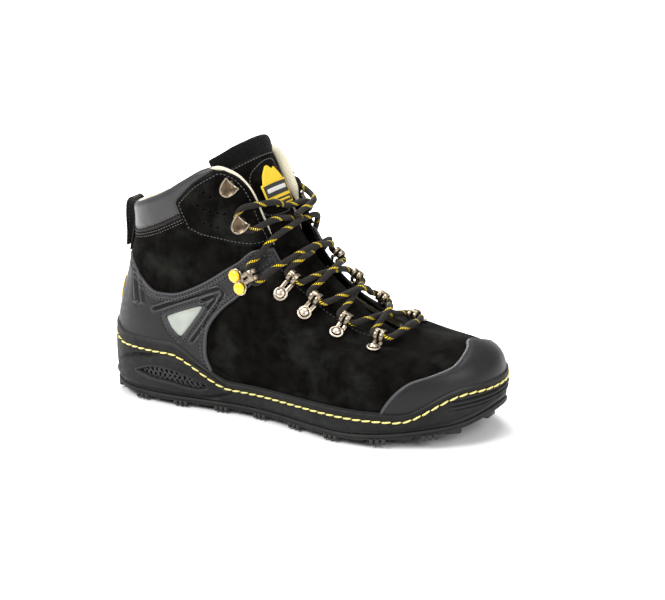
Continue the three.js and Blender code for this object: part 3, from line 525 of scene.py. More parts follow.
def rim_edges(faces):
    """Directed edges that only one face has."""
    pairs, _ = face_edges(faces)
    key = pairs.min(1) * (pairs.max() + 1) + pairs.max(1)
    _, first, counts = np.unique(key, return_index=True, return_counts=True)
    return pairs[first[counts == 1]]


def contour_lines(faces, values, level):
    """Chains of mesh edges that cross a level, as (starts, ends, shares) from the higher point."""
    pairs, owners = face_edges(faces)
    above = values > level
    crossing = above[pairs[:, 0]] != above[pairs[:, 1]]
    by_face = {}
    for pair, owner in zip(np.sort(pairs[crossing], axis=1).tolist(), owners[crossing].tolist()):
        by_face.setdefault(owner, []).append(tuple(pair))
    links = {}
    for found in by_face.values():
        if len(found) == 2:
            links.setdefault(found[0], []).append(found[1])
            links.setdefault(found[1], []).append(found[0])
    lines = []
    seen = set()
    loose_first = sorted(links, key=lambda key: (len(links[key]), key))
    for start in loose_first:
        if start in seen:
            continue
        chain = [start]
        here = start
        seen.add(start)
        while True:
            onward = [key for key in links[here] if key not in seen]
            if not onward:
                break
            here = onward[0]
            seen.add(here)
            chain.append(here)
        if len(chain) < 3:
            continue
        if len(links[start]) == 2 and start in links[chain[-1]]:
            chain.append(start)
        starts, ends = np.array(chain).T
        share = (values[starts] - level) / (values[starts] - values[ends])
        lines.append((starts, ends, share))
    return lines


# ---------------------------------------------------------------- stitches

STITCH_RADIUS = 0.42


def stitch_bodies(path, normals, pitch, length, radius, lean=0.0):
    """Thread stitches along a path, each a small round body that dips into the surface at both ends."""
    joined = evenly(np.concatenate([path, normals], axis=1), pitch)
    centers = joined[:, :3]
    normals = unit(joined[:, 3:])
    tangents = unit(np.gradient(centers, axis=0))
    tangents = unit(tangents + lean * np.cross(normals, tangents))
    sides = np.cross(normals, tangents)
    stations = np.array([-1, -0.86, -0.45, 0, 0.45, 0.86, 1])
    swell = np.array([0.25, 0.7, 0.95, 1, 0.95, 0.7, 0.25])
    dip = np.array([-1.0, -0.45, -0.05, 0, -0.05, -0.45, -1.0])
    turn = np.linspace(0, 2 * np.pi, 6, endpoint=False)
    ring = np.stack([np.cos(turn), np.sin(turn)], -1)
    parts = []
    for center, normal, tangent, side in zip(centers, normals, tangents, sides):
        spine = center + tangent * stations[:, None] * length / 2 + normal * dip[:, None] * radius
        around = side * ring[:, :1] + normal * ring[:, 1:]
        points = spine[:, None] + around[None] * (radius * swell)[:, None, None]
        parts.append((points.reshape(-1, 3), tube_faces(len(stations), len(turn))))
    return parts


def stitch_lines(name, lines, look, pitch=3.0, length=2.3, keep=None, **ride):
    """Every stitch of several lines as one piece."""
    parts = []
    for points, normals in lines:
        if len(points) < 4:
            continue
        for a, b in kept_stretches(points, keep):
            parts += stitch_bodies(points[a:b], normals[a:b], pitch, length, STITCH_RADIUS)
    if parts:
        build(name, *merged(parts), look, slot="thread", **ride)


def kept_stretches(points, keep):
    """Index ranges of the stretches of a line for which keep(points) is true."""
    if keep is None:
        return [(0, len(points))]
    flags = np.concatenate([[False], keep(points), [False]]).astype(int)
    changes = np.flatnonzero(np.diff(flags))
    return [(a, b) for a, b in zip(changes[::2], changes[1::2]) if b - a > 6]


# ---------------------------------------------------------------- materials

class Look:
    """A node material: a principled surface with helpers that wire its inputs.

    Patterns are laid out in metres over the piece. Colours are linear.
    """

    def __init__(self, name, rough=0.5, metallic=0.0, **inputs):
        self.name = name
        self.material = bpy.data.materials.new(name)
        self.material.use_nodes = True
        self.tree = self.material.node_tree
        self.surface = self.tree.nodes["Principled BSDF"]
        self.set("Roughness", rough)
        self.set("Metallic", metallic)
        for key, value in inputs.items():
            self.set(key.replace("_", " "), value)
        self.place = self.add("ShaderNodeTexCoord").outputs["Object"]
        self.bump_height = None

    def add(self, kind, **settings):
        node = self.tree.nodes.new(kind)
        for key, value in settings.items():
            setattr(node, key, value)
        return node

    def wired(self, kind, inputs, **settings):
        """Adds a node with its inputs wired or set."""
        node = self.add(kind, **settings)
        for socket, value in inputs.items():
            self.join(value, node.inputs[socket])
        return node

    def join(self, source, target):
        """Wires a socket, or sets a plain value."""
        if isinstance(source, bpy.types.NodeSocket):
            self.tree.links.new(source, target)
        else:
            target.default_value = source

    def set(self, socket, value):
        self.join(value, self.surface.inputs[socket])

    def noise(self, scale, detail=4.0, rough=0.55, stretch=(1, 1, 1)):
        """Fractal noise with features about 1 / scale metres across."""
        mapping = self.wired("ShaderNodeMapping", {"Vector": self.place, "Scale": stretch})
        inputs = {"Vector": mapping.outputs[0], "Scale": scale, "Detail": detail, "Roughness": rough}
        return self.wired("ShaderNodeTexNoise", inputs).outputs["Fac"]

    def cells(self, scale, feature="DISTANCE_TO_EDGE"):
        inputs = {"Vector": self.place, "Scale": scale, "Randomness": 1.0}
        return self.wired("ShaderNodeTexVoronoi", inputs, feature=feature).outputs["Distance"]

    def ramp(self, value, low, high, start=0.3, end=0.7):
        """Value turned into a grey or a colour: low up to start, high from end on."""
        node = self.wired("ShaderNodeValToRGB", {"Fac": value})
        for element, position, color in zip(node.color_ramp.elements, (start, end), (low, high)):
            element.position = position
            element.color = (*color, 1) if isinstance(color, tuple) else (color, color, color, 1)
        return node.outputs["Color"]

    def math(self, operation, a, b=0.5):
        return self.wired("ShaderNodeMath", {0: a, 1: b}, operation=operation).outputs[0]

    def mix(self, share, a, b):
        a, b = ((*color, 1) if isinstance(color, tuple) else color for color in (a, b))
        return self.wired("ShaderNodeMix", {"Factor": share, 6: a, 7: b}, data_type="RGBA").outputs[2]

    def tinted(self, share, amount, a, b):
        """Mix of a and b by a share times an amount."""
        return self.mix(self.math("MULTIPLY", share, amount), a, b)

    def attribute(self, name):
        return self.add("ShaderNodeAttribute", attribute_name=name).outputs["Fac"]

    def hollows(self, low=0.455, high=0.492):
        """1 in creases and grooves, 0 elsewhere: the mask for painted shade."""
        return self.ramp(self.add("ShaderNodeNewGeometry").outputs["Pointiness"], 1.0, 0.0, low, high)

    def edge_wear(self, low=0.52, high=0.58):
        """1 on sharp outer edges, 0 elsewhere: the mask for paler edges, partly rubbed and partly a painted
        highlight.
        """
        return self.ramp(self.add("ShaderNodeNewGeometry").outputs["Pointiness"], 0.0, 1.0, low, high)

    def relief(self, height, distance, strength=1.0):
        """Adds one more bump layer, distance metres deep."""
        inputs = {"Strength": strength, "Distance": distance, "Height": height}
        if self.bump_height is not None:
            inputs["Normal"] = self.bump_height
        self.bump_height = self.wired("ShaderNodeBump", inputs).outputs["Normal"]
        self.set("Normal", self.bump_height)

    def grain(self, scale, detail, distance, strength, **pattern):
        """Adds a bump layer of noise."""
        self.relief(self.noise(scale, detail, **pattern), distance, strength)

    def weave(self, pitch, depth):
        """Adds an over-and-under weave, pitch metres between threads. Returns its height."""
        turned = self.wired("ShaderNodeMapping", {"Vector": self.place, "Rotation": (0.5, 0.6, 0.7)})
        inputs = {"Vector": turned.outputs[0], "Scale": 0.314 / pitch, "Distortion": 0.6, "Detail Scale": 2.0}
        waves = [self.wired("ShaderNodeTexWave", inputs, bands_direction=way).outputs["Fac"] for way in "XZ"]
        height = self.math("MULTIPLY", *waves)
        self.relief(height, depth, 0.8)
        return height

    def uneven(self, scale, detail, low, high):
        """Roughness that wanders between two values."""
        self.set("Roughness", self.ramp(self.noise(scale, detail), low, high))

    def color(self, value):
        self.set("Base Color", (*value, 1) if isinstance(value, tuple) else value)


def nubuck_look():
    """Near-black nubuck: a fine nap, cloudy grey-green scuffs and a soft sheen."""
    look = Look("nubuck", 0.86, Sheen_Weight=0.006, Sheen_Roughness=0.5, Sheen_Tint=(0.5, 0.48, 0.42, 1),
                Specular_IOR_Level=0.025)
    cloud = look.noise(26, 5, 0.62, (1, 1, 1.25))
    scuff = look.ramp(cloud, 0.0, 1.0, 0.50, 0.72)
    shade = look.ramp(look.noise(95), (0.0012, 0.0011, 0.0009), (0.0050, 0.0044, 0.0038), 0.35, 0.68)
    scuffed = look.tinted(scuff, 0.55, shade, (0.022, 0.0235, 0.020))
    specks = look.ramp(look.cells(260, "F1"), 1.0, 0.0, 0.02, 0.06)
    dotted = look.tinted(specks, 0.08, scuffed, (0.06, 0.06, 0.055))
    # Paler sharp edges: partly rubbed nap, partly a painted highlight.
    look.color(look.tinted(look.edge_wear(), 0.25, dotted, (0.04, 0.039, 0.036)))
    look.uneven(900, 2, 0.74, 0.94)
    look.relief(cloud, 0.0012, 0.35)
    look.grain(2600, 3, 0.00012, 0.7)
    look.relief(look.cells(700), 0.00008, 0.35)
    return look


def suede_look():
    """Black brushed fabric with a visible pile, for the tongue's top roll."""
    look = Look("suede", 0.95, Sheen_Weight=0.04, Sheen_Roughness=0.35, Specular_IOR_Level=0.05)
    fibres = look.noise(1500, 4, 0.7)
    pile = look.ramp(fibres, 0.0, 1.0, 0.4, 0.75)
    look.color(look.mix(pile, (0.0015, 0.0015, 0.0015), (0.014, 0.0135, 0.013)))
    look.relief(fibres, 0.0005, 0.9)
    look.grain(240, 3, 0.0008, 0.5)
    return look


def worn_base(look, base, hollow, wear, worn):
    """Colours a look: base, darkened towards black in grooves by the share `hollow` as painted shade, and
    paler on its sharp edges, partly rubbed and partly a painted highlight.
    """
    share, low, high = wear
    # Painted shade: creases and grooves darkened towards black.
    shaded = look.tinted(look.hollows(), hollow, base, (0.001, 0.001, 0.001))
    # Paler sharp edges: partly rubbed, partly a painted highlight.
    look.color(look.tinted(look.edge_wear(low, high), share, shaded, worn))


def moulded_look():
    """Dark grey moulded toe and heel guards: satin, finely textured, with painted shade in their grooves and
    paler edges, partly rubbed and partly a painted highlight.
    """
    look = Look("moulded", 0.44, Specular_IOR_Level=0.22)
    base = look.ramp(look.noise(40, 3), (0.0075, 0.0075, 0.0084), (0.0110, 0.0110, 0.0122))
    # Painted shade in the chevron grooves and stitch channels; edges partly rubbed, partly a painted
    # highlight.
    worn_base(look, base, 0.85, (0.6, 0.512, 0.55), (0.085, 0.085, 0.088))
    look.uneven(320, 3, 0.36, 0.50)
    look.grain(1800, 2, 0.00005, 0.5)
    return look


def rubber_look():
    """Black sole rubber, matte and dusty in patches, with painted shade in its grooves and paler edges,
    partly rubbed and partly a painted highlight.
    """
    look = Look("rubber", 0.62, Specular_IOR_Level=0.18)
    dust = look.noise(55, 5, 0.65)
    base = look.ramp(dust, (0.0045, 0.0045, 0.0045), (0.0110, 0.0110, 0.0107), 0.35, 0.72)
    # Painted shade in the grooves; edges partly rubbed, partly a painted highlight.
    worn_base(look, base, 0.8, (0.5, 0.515, 0.56), (0.05, 0.0495, 0.047))
    look.uneven(210, 4, 0.50, 0.70)
    look.grain(1300, 3, 0.00008, 0.6)
    look.relief(dust, 0.0004, 0.25)
    return look


def collar_look():
    """Smooth grey coated leather of the padded collar: fine grain and a broad soft shine."""
    look = Look("collar_leather", 0.38, Specular_IOR_Level=0.36)
    look.color(look.ramp(look.noise(30, 3), (0.018, 0.018, 0.0195), (0.028, 0.028, 0.030)))
    look.uneven(160, 3, 0.34, 0.46)
    look.relief(look.cells(620), 0.00016, 0.45)
    look.grain(85, 3, 0.0008, 0.3)
    return look


def lining_look():
    """Cream brushed mesh lining, a little soiled."""
    look = Look("lining", 0.92, Sheen_Weight=0.25)
    threads = look.weave(0.0011, 0.00035)
    base = look.ramp(look.noise(45), (0.56, 0.51, 0.37), (0.69, 0.64, 0.50))
    look.color(look.mix(look.ramp(threads, 0.35, 0.0, 0.2, 0.6), base, (0.36, 0.32, 0.22)))
    look.grain(1200, 3, 0.0002, 0.6)
    return look


def foam_look():
    """Open-cell padding and footbed foam with a knit top."""
    look = Look("foam", 0.95)
    pores = look.cells(1400, "F1")
    look.color(look.ramp(pores, (0.20, 0.19, 0.13), (0.55, 0.52, 0.36), 0.1, 0.5))
    look.relief(pores, 0.0004, 0.7)
    return look


def steel_look():
    """The shank's rolled steel, scratched along its length."""
    look = Look("steel", 0.35, 1.0)
    scratches = look.noise(260, 4, stretch=(1, 14, 14))
    look.color(look.ramp(scratches, (0.36, 0.37, 0.38), (0.58, 0.59, 0.60)))
    look.set("Roughness", look.ramp(scratches, 0.28, 0.48))
    look.relief(scratches, 0.00005, 0.4)
    return look


def reflective_look():
    """Pale grey-green reflective film over fine glass beads."""
    look = Look("reflective", 0.4, 0.1, Specular_IOR_Level=0.3)
    beads = look.cells(2400, "F1")
    base = look.ramp(look.noise(60, 3), (0.26, 0.28, 0.245), (0.36, 0.38, 0.335))
    look.color(look.mix(look.ramp(beads, 0.0, 0.25, 0.1, 0.6), base, (0.22, 0.25, 0.23)))
    look.relief(beads, 0.00006, 0.5)
    return look


def patch_look(name, rough, low, high):
    """Woven patch cloth of two shades."""
    look = Look(name, rough)
    look.color(look.mix(look.weave(0.0008, 0.0002), low, high))
    return look


def strap_look():
    """Black-brown leather of the heel pull, creased across, with paler edges, partly rubbed and partly a
    painted highlight.
    """
    look = Look("strap", 0.7, Specular_IOR_Level=0.15)
    creases = look.noise(160, 5, stretch=(1, 1, 3))
    base = look.ramp(creases, (0.007, 0.006, 0.0055), (0.024, 0.020, 0.018), 0.35)
    # Paler sharp edges: partly rubbed, partly a painted highlight.
    look.color(look.tinted(look.edge_wear(), 0.5, base, (0.08, 0.065, 0.055)))
    look.relief(look.cells(850), 0.00014, 0.5)
    look.relief(creases, 0.0006, 0.4)
    return look


def metal_look(name, tint, rough):
    """Polished metal, lightly scratched, with brown painted shade in its grooves and creases."""
    look = Look(name, rough, 1.0)
    darker = tuple(0.72 * channel for channel in tint)
    shade = look.ramp(look.noise(140, 3), darker, tint, 0.3, 0.62)
    # Painted shade: brown darkening in creases and grooves.
    look.color(look.tinted(look.hollows(0.42, 0.49), 0.7, shade, (0.12, 0.085, 0.05)))
    look.uneven(500, 3, rough * 0.8, rough * 1.5)
    look.grain(500, 2, 0.00002, 0.4, stretch=(1, 4, 1))
    return look


LACE_STRANDS = 6  # strands that wind each way round the lace
LACE_TWIST = 4.2  # radians of a strand's wave per millimetre of lace


def cord_look():
    """Round braid in dark grey-brown with slanting groups of yellow flecks.

    The lace mesh carries the distance along it in millimetres and the turn round it in radians.
    """
    look = Look("cord", 0.85, Sheen_Weight=0.03, Specular_IOR_Level=0.15)
    along = look.attribute("lace_along")
    turn = look.attribute("lace_turn")
    strands = []
    for way in (1, -1):
        winding = look.math("MULTIPLY", turn, LACE_STRANDS * way)
        phase = look.math("ADD", look.math("MULTIPLY", along, LACE_TWIST), winding)
        strands.append(look.math("ADD", look.math("MULTIPLY", look.math("SINE", phase), 0.5), 0.5))
    braid = look.math("MAXIMUM", *strands)
    shade = look.ramp(braid, (0.004, 0.0035, 0.003), (0.026, 0.0225, 0.019), 0.55, 0.98)
    swirl = look.math("ADD", look.math("MULTIPLY", along, 0.35), turn)
    group = look.math("GREATER_THAN", look.math("SINE", swirl), 0.90)
    fleck = look.math("GREATER_THAN", strands[1], 0.55)
    look.color(look.tinted(group, fleck, shade, (0.80, 0.58, 0.018)))
    look.relief(braid, 0.0004, 0.9)
    look.grain(2200, 2, 0.0001, 0.6)
    return look


def plain_look(name, pattern, low, high, relief, bumps=None, stops=(0.3, 0.7), **surface):
    """Two shades that follow one noise pattern, with a relief of the same pattern or of `bumps`."""
    look = Look(name, **surface)
    value = look.noise(*pattern)
    look.color(look.ramp(value, low, high, *stops))
    look.relief(look.noise(*bumps) if bumps else value, *relief)
    return look


def thread_look(name, dark, pale):
    """Twisted sewing thread."""
    return plain_look(name, (2600, 2), dark, pale, (0.00015, 0.8), stops=(0.35, 0.65), rough=0.7,
                      Sheen_Weight=0.2)


LOOKS = {look.name: look.material for look in (
    nubuck_look(),
    suede_look(),
    moulded_look(),
    rubber_look(),
    collar_look(),
    lining_look(),
    foam_look(),
    plain_look("board", (420, 5, 0.55, (1, 4, 1)), (0.16, 0.14, 0.11), (0.34, 0.31, 0.26), (0.0002, 0.6),
               rough=0.9),
    steel_look(),
    plain_look("shell", (360, 3), (0.022, 0.026, 0.032), (0.040, 0.044, 0.052), (0.0003, 0.4), rough=0.45),
    reflective_look(),
    patch_look("patch_yellow", 0.7, (0.56, 0.36, 0.006), (0.86, 0.62, 0.015)),
    patch_look("patch_dark", 0.8, (0.006, 0.006, 0.006), (0.03, 0.03, 0.028)),
    patch_look("patch_pale", 0.8, (0.42, 0.41, 0.38), (0.74, 0.73, 0.69)),
    strap_look(),
    metal_look("nickel", (0.56, 0.48, 0.38), 0.26),
    # Nickel again, much darker, for the speed hooks' shields: painted shade in the scoop.
    metal_look("worn_brass", (0.11, 0.078, 0.05), 0.34),
    plain_look("yellow_rivet", (150, 3), (0.90, 0.50, 0.004), (0.98, 0.62, 0.006), (0.00004, 0.5), (700, 2),
               rough=0.22, Coat_Weight=0.6, Coat_Roughness=0.12),
    thread_look("thread", (0.50, 0.42, 0.10), (0.82, 0.74, 0.28)),
    thread_look("dark_thread", (0.012, 0.012, 0.0125), (0.050, 0.050, 0.052)),
    thread_look("black_thread", (0.003, 0.003, 0.003), (0.011, 0.011, 0.011)),
    cord_look(),
    plain_look("tip", (300, 2), (0.010, 0.010, 0.010), (0.028, 0.027, 0.026), (0.00006, 0.4), (500, 2),
               rough=0.25, Coat_Weight=0.4),
    plain_look("sole_grid", (150, 3), (0.006, 0.006, 0.006), (0.014, 0.014, 0.014), (0.0001, 0.5), (900, 2)),
)}


# ---------------------------------------------------------------- side-view shapes

THROAT_LOW = [[192, 67.6], [184, 66.3], [172, 67.5], [150, 77.5], [130, 91.5], [115, 106], [106, 119]]
THROAT_HIGH = [
    [106, 119], [100.4, 132.2], [94.7, 143.7], [88.6, 158], [84.4, 165.8], [78.6, 172.9], [71.6, 177.2],
]
SPLIT = [[52, 10], [49, 45], [52, 63], [62, 76], [78, 92], [92, 106], [106, 119]]
COLLAR_SEAM = [[-60, 118], [-13, 122.3], [11.3, 130.8], [37, 142.5]]
COLLAR_TOP = [[65, 179.5], [57, 177.3], [40.3, 168.5], [20.9, 157.5], [9.2, 152.5], [-20, 142.5], [-60, 140]]
PANEL_TOP = [[84.4, 165.8], [78.6, 172.9], [71.6, 177.2], [66.7, 177]]
PANEL_LOW = [[103.4, 127], [91.4, 124.3], [69.1, 127.1], [52.2, 128.9], [40.9, 132.8]]
COUNTER_FRONT = [
    [57.5, 10], [56.5, 30.5], [53.4, 41.9], [53.7, 52.8], [55.2, 61.2], [60.3, 69.7], [68.6, 78.7],
    [81.1, 88.4], [95.7, 101.3], [109.6, 112.6],
]
COUNTER_TOP = [
    [103.4, 123.4], [91, 121.6], [81.8, 113.9], [69.8, 106.4], [57.8, 98.8], [42.6, 90.6], [28.8, 85],
    [18.3, 83.8], [8.3, 84.3], [-1.7, 89.9], [-12.6, 98.8], [-22, 104], [-60, 106],
]
TOE_GUARD_EDGE = [
    [193, 10], [195, 23], [202.3, 35], [213.9, 45.5], [229, 50.5], [238.5, 54.5], [239, 60],
    [233.5, 64.5], [231, 90],
]
REFLECTOR = [[18.8, 66.9], [53, 79.4], [31.7, 52.3]]
AIR_HOLES = [
    [58, 161.6], [62.7, 158.8], [51.9, 151.9], [57.3, 149.9], [62.3, 148.6], [67.4, 147.8], [72.5, 147],
    [51.2, 140.8], [56.6, 139.6], [62.1, 138.6], [67.6, 137.6],
]


def rounded_triangle(corners, radius):
    """A triangle with slightly bowed sides and rounded corners."""
    corners = np.asarray(corners, float)
    center = corners.mean(0)
    points = []
    for k, corner in enumerate(corners):
        before = corners[k - 1]
        after = corners[(k + 1) % 3]
        t = radius / np.linalg.norm(before - corner)
        s = radius / np.linalg.norm(after - corner)
        middle = (corner + after) / 2
        points += [corner + (before - corner) * t, corner + (center - corner) * 0.12,
                   corner + (after - corner) * s, middle + (middle - center) * 0.06]
    return smooth_path(points, 0.7, closed=True)


REFLECTOR_WINDOW = rounded_triangle(REFLECTOR, 4.6)
COUNTER = outline([[-60, 10]], curve(*COUNTER_FRONT), curve(*COUNTER_TOP))
TOE_GUARD = outline(curve(*TOE_GUARD_EDGE), [[300, 90], [300, 10]])
EYELET_PANEL = outline(
    curve([37, 142.5], [33.3, 152]), curve([33.3, 152], [49.8, 166.6], [66.7, 177]),
    curve(*PANEL_TOP[::-1][1:], *THROAT_HIGH[::-1][3:6], [103.4, 127]), curve(*PANEL_LOW),
)
VAMP = outline(
    curve(*SPLIT[:-1]), curve(*THROAT_LOW[::-1]), [[192.4, 260], [300, 260], [300, 10]],
)
QUARTER = outline(
    curve(*SPLIT), curve(*THROAT_HIGH), [[66.7, 176.6], [49.8, 166.1], [33.9, 151.8], [37.4, 142]],
    curve(*COLLAR_SEAM[::-1]) - (0, 0.4), [[-60, 10]],
)
COLLAR = outline(
    curve(*COLLAR_SEAM[:3], [38, 143]), [[35, 151.4]], curve([35.3, 151.8], [51, 165.6], [67, 175.6]),
    curve(*COLLAR_TOP),
)
LINING = outline(
    [[-60, 10], [300, 10], [300, 260], [197, 260], [197, 65]],
    curve(*THROAT_LOW) - (10, 3), curve(*THROAT_HIGH[1:]) - (4.5, 1),
    [[64, 174.6], [49.8, 166.1], [33.9, 151.8], [37.4, 142]], curve(*COLLAR_SEAM[::-1]) - (0, 0.4),
)

SIDES = (("lateral", OUTER, "L"), ("medial", INNER, "M"))


def side_range(side, low=0.0, high=5.4):
    """Range of places round the boot between two fan columns on one side."""
    return (low, high) if side == OUTER else (AROUND - high, AROUND - low)


def rounded_edge(distance, radius):
    """Height share of a rounded edge: 0 at the rim, 1 from radius inwards."""
    t = np.clip(distance / radius, 0, 1)
    return np.sqrt(np.clip(1 - (1 - t) ** 2, 0, 1))


# ---------------------------------------------------------------- leather panels

def vamp_relief(sheet):
    """Soft flex creases over the ball, and the low hollows beside the throat."""
    crease = 0
    for x, depth in ((150, 0.25), (158, 0.4), (167, 0.35), (177, 0.2)):
        line = x + 5 * np.sin(sheet.z / 11) + 0.25 * (sheet.z - 55)
        crease = crease - depth * bump(sheet.x, line, 2.6) * smooth_step(30, 42, sheet.z)
    wave = 0.22 * np.sin(sheet.x / 9.0 + sheet.z / 17.0) * np.sin(sheet.z / 8.0 - sheet.x / 23.0)
    return crease + wave


VAMP_HEM = 3.2  # stitches from the edge of the lace opening


def make_vamp():
    sheet = Sheet(VAMP, (2.3, 9.7), (-0.1, 6.3), 1.1)
    edge = rounded_edge(sheet.rim_distance, 1.3)
    top = 0.5 + (LEATHER - 0.5) * edge + vamp_relief(sheet) * smooth_step(1, 6, sheet.rim_distance)
    top = top - 0.3 * bump(sheet.rim_distance, VAMP_HEM, 0.8)
    sheet.build("vamp_leather", top, 0, "nubuck", "vamp")
    lines = sheet.contour(sheet.rim_distance, VAMP_HEM, LEATHER - 0.25)
    stitch_lines("vamp_stitches", lines, "black_thread", keep=near_throat)


def near_throat(points):
    """True on the lace opening's edge, clear of the seam under the counter."""
    gap = line_distance(curve(*THROAT_LOW), points[:, 0], points[:, 2])
    return (gap < 5.5) & (points[:, 2] < 112)


def make_quarters():
    for name, side, _ in SIDES:
        sheet = Sheet(QUARTER, side_range(side, 0.01, 5.3), (-0.1, 8.0), 1.3)
        puff = 1.3 * smooth_step(88, 106, sheet.z) * (1 - smooth_step(112, 132, sheet.z - 0.25 * sheet.x))
        wave = 0.25 * np.sin(sheet.x / 8.0 - sheet.z / 15.0) * np.sin(sheet.z / 9.0)
        edge = rounded_edge(sheet.rim_distance, 1.3)
        top = 0.4 + (LEATHER - 0.4) * edge + (puff + wave) * smooth_step(0, 9, sheet.rim_distance)
        sheet.build("quarter_leather_" + name, top, 0, "nubuck", "quarter_" + name)


# ---------------------------------------------------------------- moulded guards

CHEVRON = [
    [9.8, 70.9], [38, 82.2], [60, 91], [66.5, 92.3], [68.8, 89.5], [66, 84.5], [54, 67.5], [41.9, 52.1],
]
SHORT_CHEVRON = [[50.6, 81.8], [58, 85.2], [61.6, 86.2], [61.4, 84.2], [55.5, 77.2]]
COUNTER_STITCHES = (2.6, 5.0)  # distance of each row of stitches from the counter's edge
WINDOW_HEM = 3.9  # stitches from the reflector's window
WINDOW_FRAME = 7  # width of the plain border round the reflector
RIBS = (([-8.2, 73.0], [-12.6, 96.0]), ([-2.0, 75.0], [-6.5, 95.0]))


def counter_relief(sheet):
    """Raised lip, stitched channels, chevron grooves, framed windows and the two heel ribs."""
    distance = sheet.rim_distance
    window = -inside_distance(REFLECTOR_WINDOW, sheet.x, sheet.z)
    visible = smooth_step(0, 1.5, window - WINDOW_FRAME)
    relief = 0.35 * bump(distance, 0.9, 0.9) * visible
    for at in COUNTER_STITCHES:
        relief -= 0.8 * bump(distance, at, 0.6) * visible
    relief += 0.5 * bump(window, 2.0, 1.5) - 0.7 * bump(window, WINDOW_HEM, 0.65)
    side = smooth_step(0.4, 1.0, np.minimum(sheet.c % AROUND, AROUND - sheet.c % AROUND))
    for line in (CHEVRON, SHORT_CHEVRON):
        gap = line_distance(curve(*line), sheet.x, sheet.z)
        relief += (-1.4 * bump(gap, 0, 1.0) + 0.45 * bump(gap, 2.1, 0.8)) * side
    for low, high in RIBS:
        gap = line_distance([low, high], sheet.x, sheet.z)
        relief += 1.15 * bump(gap, 0, 1.5) - 0.3 * bump(gap, 2.9, 0.7)
    foot = line_distance([[-10.5, 72.0], [0.5, 73.4]], sheet.x, sheet.z)
    relief += 0.7 * bump(foot, 0, 0.9)
    return relief


def make_heel_counter():
    sheet = Sheet(COUNTER, (-4.9, 4.9), (-0.1, 6.2), 0.8, floor_clearance=2, holes=[REFLECTOR_WINDOW])
    top = OVERLAY_IN + (OVERLAY_OUT - OVERLAY_IN) * (0.25 + 0.75 * rounded_edge(sheet.rim_distance, 1.1))
    top = top + counter_relief(sheet)
    sheet.build("counter_shell", top, OVERLAY_IN, "moulded", "heel_counter")
    window = inside_distance(REFLECTOR_WINDOW, sheet.x, sheet.z)
    lines = []
    for at in COUNTER_STITCHES:
        lines += sheet.contour(sheet.rim_distance, at, OVERLAY_OUT - 0.42)
    stitch_lines("counter_stitches", lines, "dark_thread", pitch=2.9, length=2.2, keep=clear_of_window)
    frame_lines = sheet.contour(window, -WINDOW_HEM, OVERLAY_OUT - 0.35)
    stitch_lines("reflector_stitches", frame_lines, "dark_thread", pitch=2.9, length=2.2)


def clear_of_window(points):
    """True above the rand and away from the reflector's window."""
    gap = -inside_distance(REFLECTOR_WINDOW, points[:, 0], points[:, 2])
    return (gap > WINDOW_FRAME) & (points[:, 2] > rand_top(points[:, 0]) + 1.5)


def make_reflectors():
    center = REFLECTOR_WINDOW.mean(0)
    for name, side, _ in SIDES:
        sheet = Sheet(center + (REFLECTOR_WINDOW - center) * 0.985, side_range(side, 1, 3.4), (1.5, 4.5), 0.8,
                      floor_clearance=None)
        top = OVERLAY_IN + 0.8 + 0.7 * rounded_edge(sheet.rim_distance, 3.0)
        sheet.build("reflector_film_" + name, top, OVERLAY_IN, "reflective", "reflector_" + name)


def make_toe_guard():
    sheet = Sheet(TOE_GUARD, (3.6, 8.4), (-0.1, 4.3), 1.0, floor_clearance=2)
    distance = sheet.rim_distance
    top = OVERLAY_IN + 1.9 * (0.12 + 0.88 * rounded_edge(distance, 1.5))
    top = top - 0.28 * bump(distance, 2.6, 0.8) + 0.15 * np.sin(sheet.x / 8.0) * np.sin(sheet.y / 7.0)
    sheet.build("toe_guard_shell", top, OVERLAY_IN, "moulded", "toe_guard")


# ---------------------------------------------------------------- eyelet panels

PANEL_HEM = 2.4  # stitches from the panel's edge
AIR_HOLE = np.array([[-1.25, -0.9], [1.25, -1.0], [0.1, 1.25]])


def make_eyelet_panels():
    holes = [AIR_HOLE + place for place in AIR_HOLES]
    for name, side, _ in SIDES:
        sheet = Sheet(EYELET_PANEL, side_range(side, 1.8, 5.4), (5.3, 8.2), 0.6, floor_clearance=None,
                      holes=holes)
        edge_gap = inside_distance(EYELET_PANEL, sheet.x, sheet.z)
        edge = 0.55 * rounded_edge(sheet.rim_distance, 0.5) + 0.45 * rounded_edge(edge_gap, 1.6)
        wave = 0.22 * np.sin(sheet.x / 7.0 + sheet.z / 12.0) * smooth_step(2, 8, edge_gap)
        top = OVERLAY_IN + 0.3 + (OVERLAY_OUT - OVERLAY_IN - 0.3) * edge + wave
        top = top - 0.32 * bump(edge_gap, PANEL_HEM, 0.7)
        sheet.build("eyelet_leather_" + name, top, OVERLAY_IN, "nubuck", "eyelet_panel_" + name)
        lines = sheet.contour(edge_gap, PANEL_HEM, OVERLAY_OUT - 0.3)
        stitch_lines("eyelet_stitches_" + name, lines, "dark_thread", pitch=2.8, length=2.1)


PIPING = [[103.5, 125.5], *THROAT_HIGH[1:], [66.0, 178.3], [60.5, 177.6]]


def make_throat_piping():
    """The padded cream lining that rolls out past each eyelet panel's front edge."""
    side_line = evenly(curve(*PIPING), 1.0)
    for name, side, _ in SIDES:
        places = fan_places(side_line, side, guess=(4.6, 7.0))
        places = places[0 if side == OUTER else len(places) // 4:]
        share = np.linspace(0, 1, len(places))
        swell = np.minimum(smooth_step(0, 0.25, share), 1 - smooth_step(0.9, 1, share))
        path, normals = upper(places[:, 0], places[:, 1])
        path = path + normals * (-0.6 + 1.0 * smooth_step(0.6, 0.85, share))[:, None]
        radius = 0.5 + (1.6 if side == OUTER else 2.5) * swell - 0.5 * smooth_step(0.45, 0.9, share)
        tube, _, _ = sweep(path, radius, sides=14, up=normals, flat=1.35)
        build("throat_roll_" + name, *tube, "lining")


NUDGE = 0.01  # fan step over which slopes are measured
LONGEST_STEP = 0.3


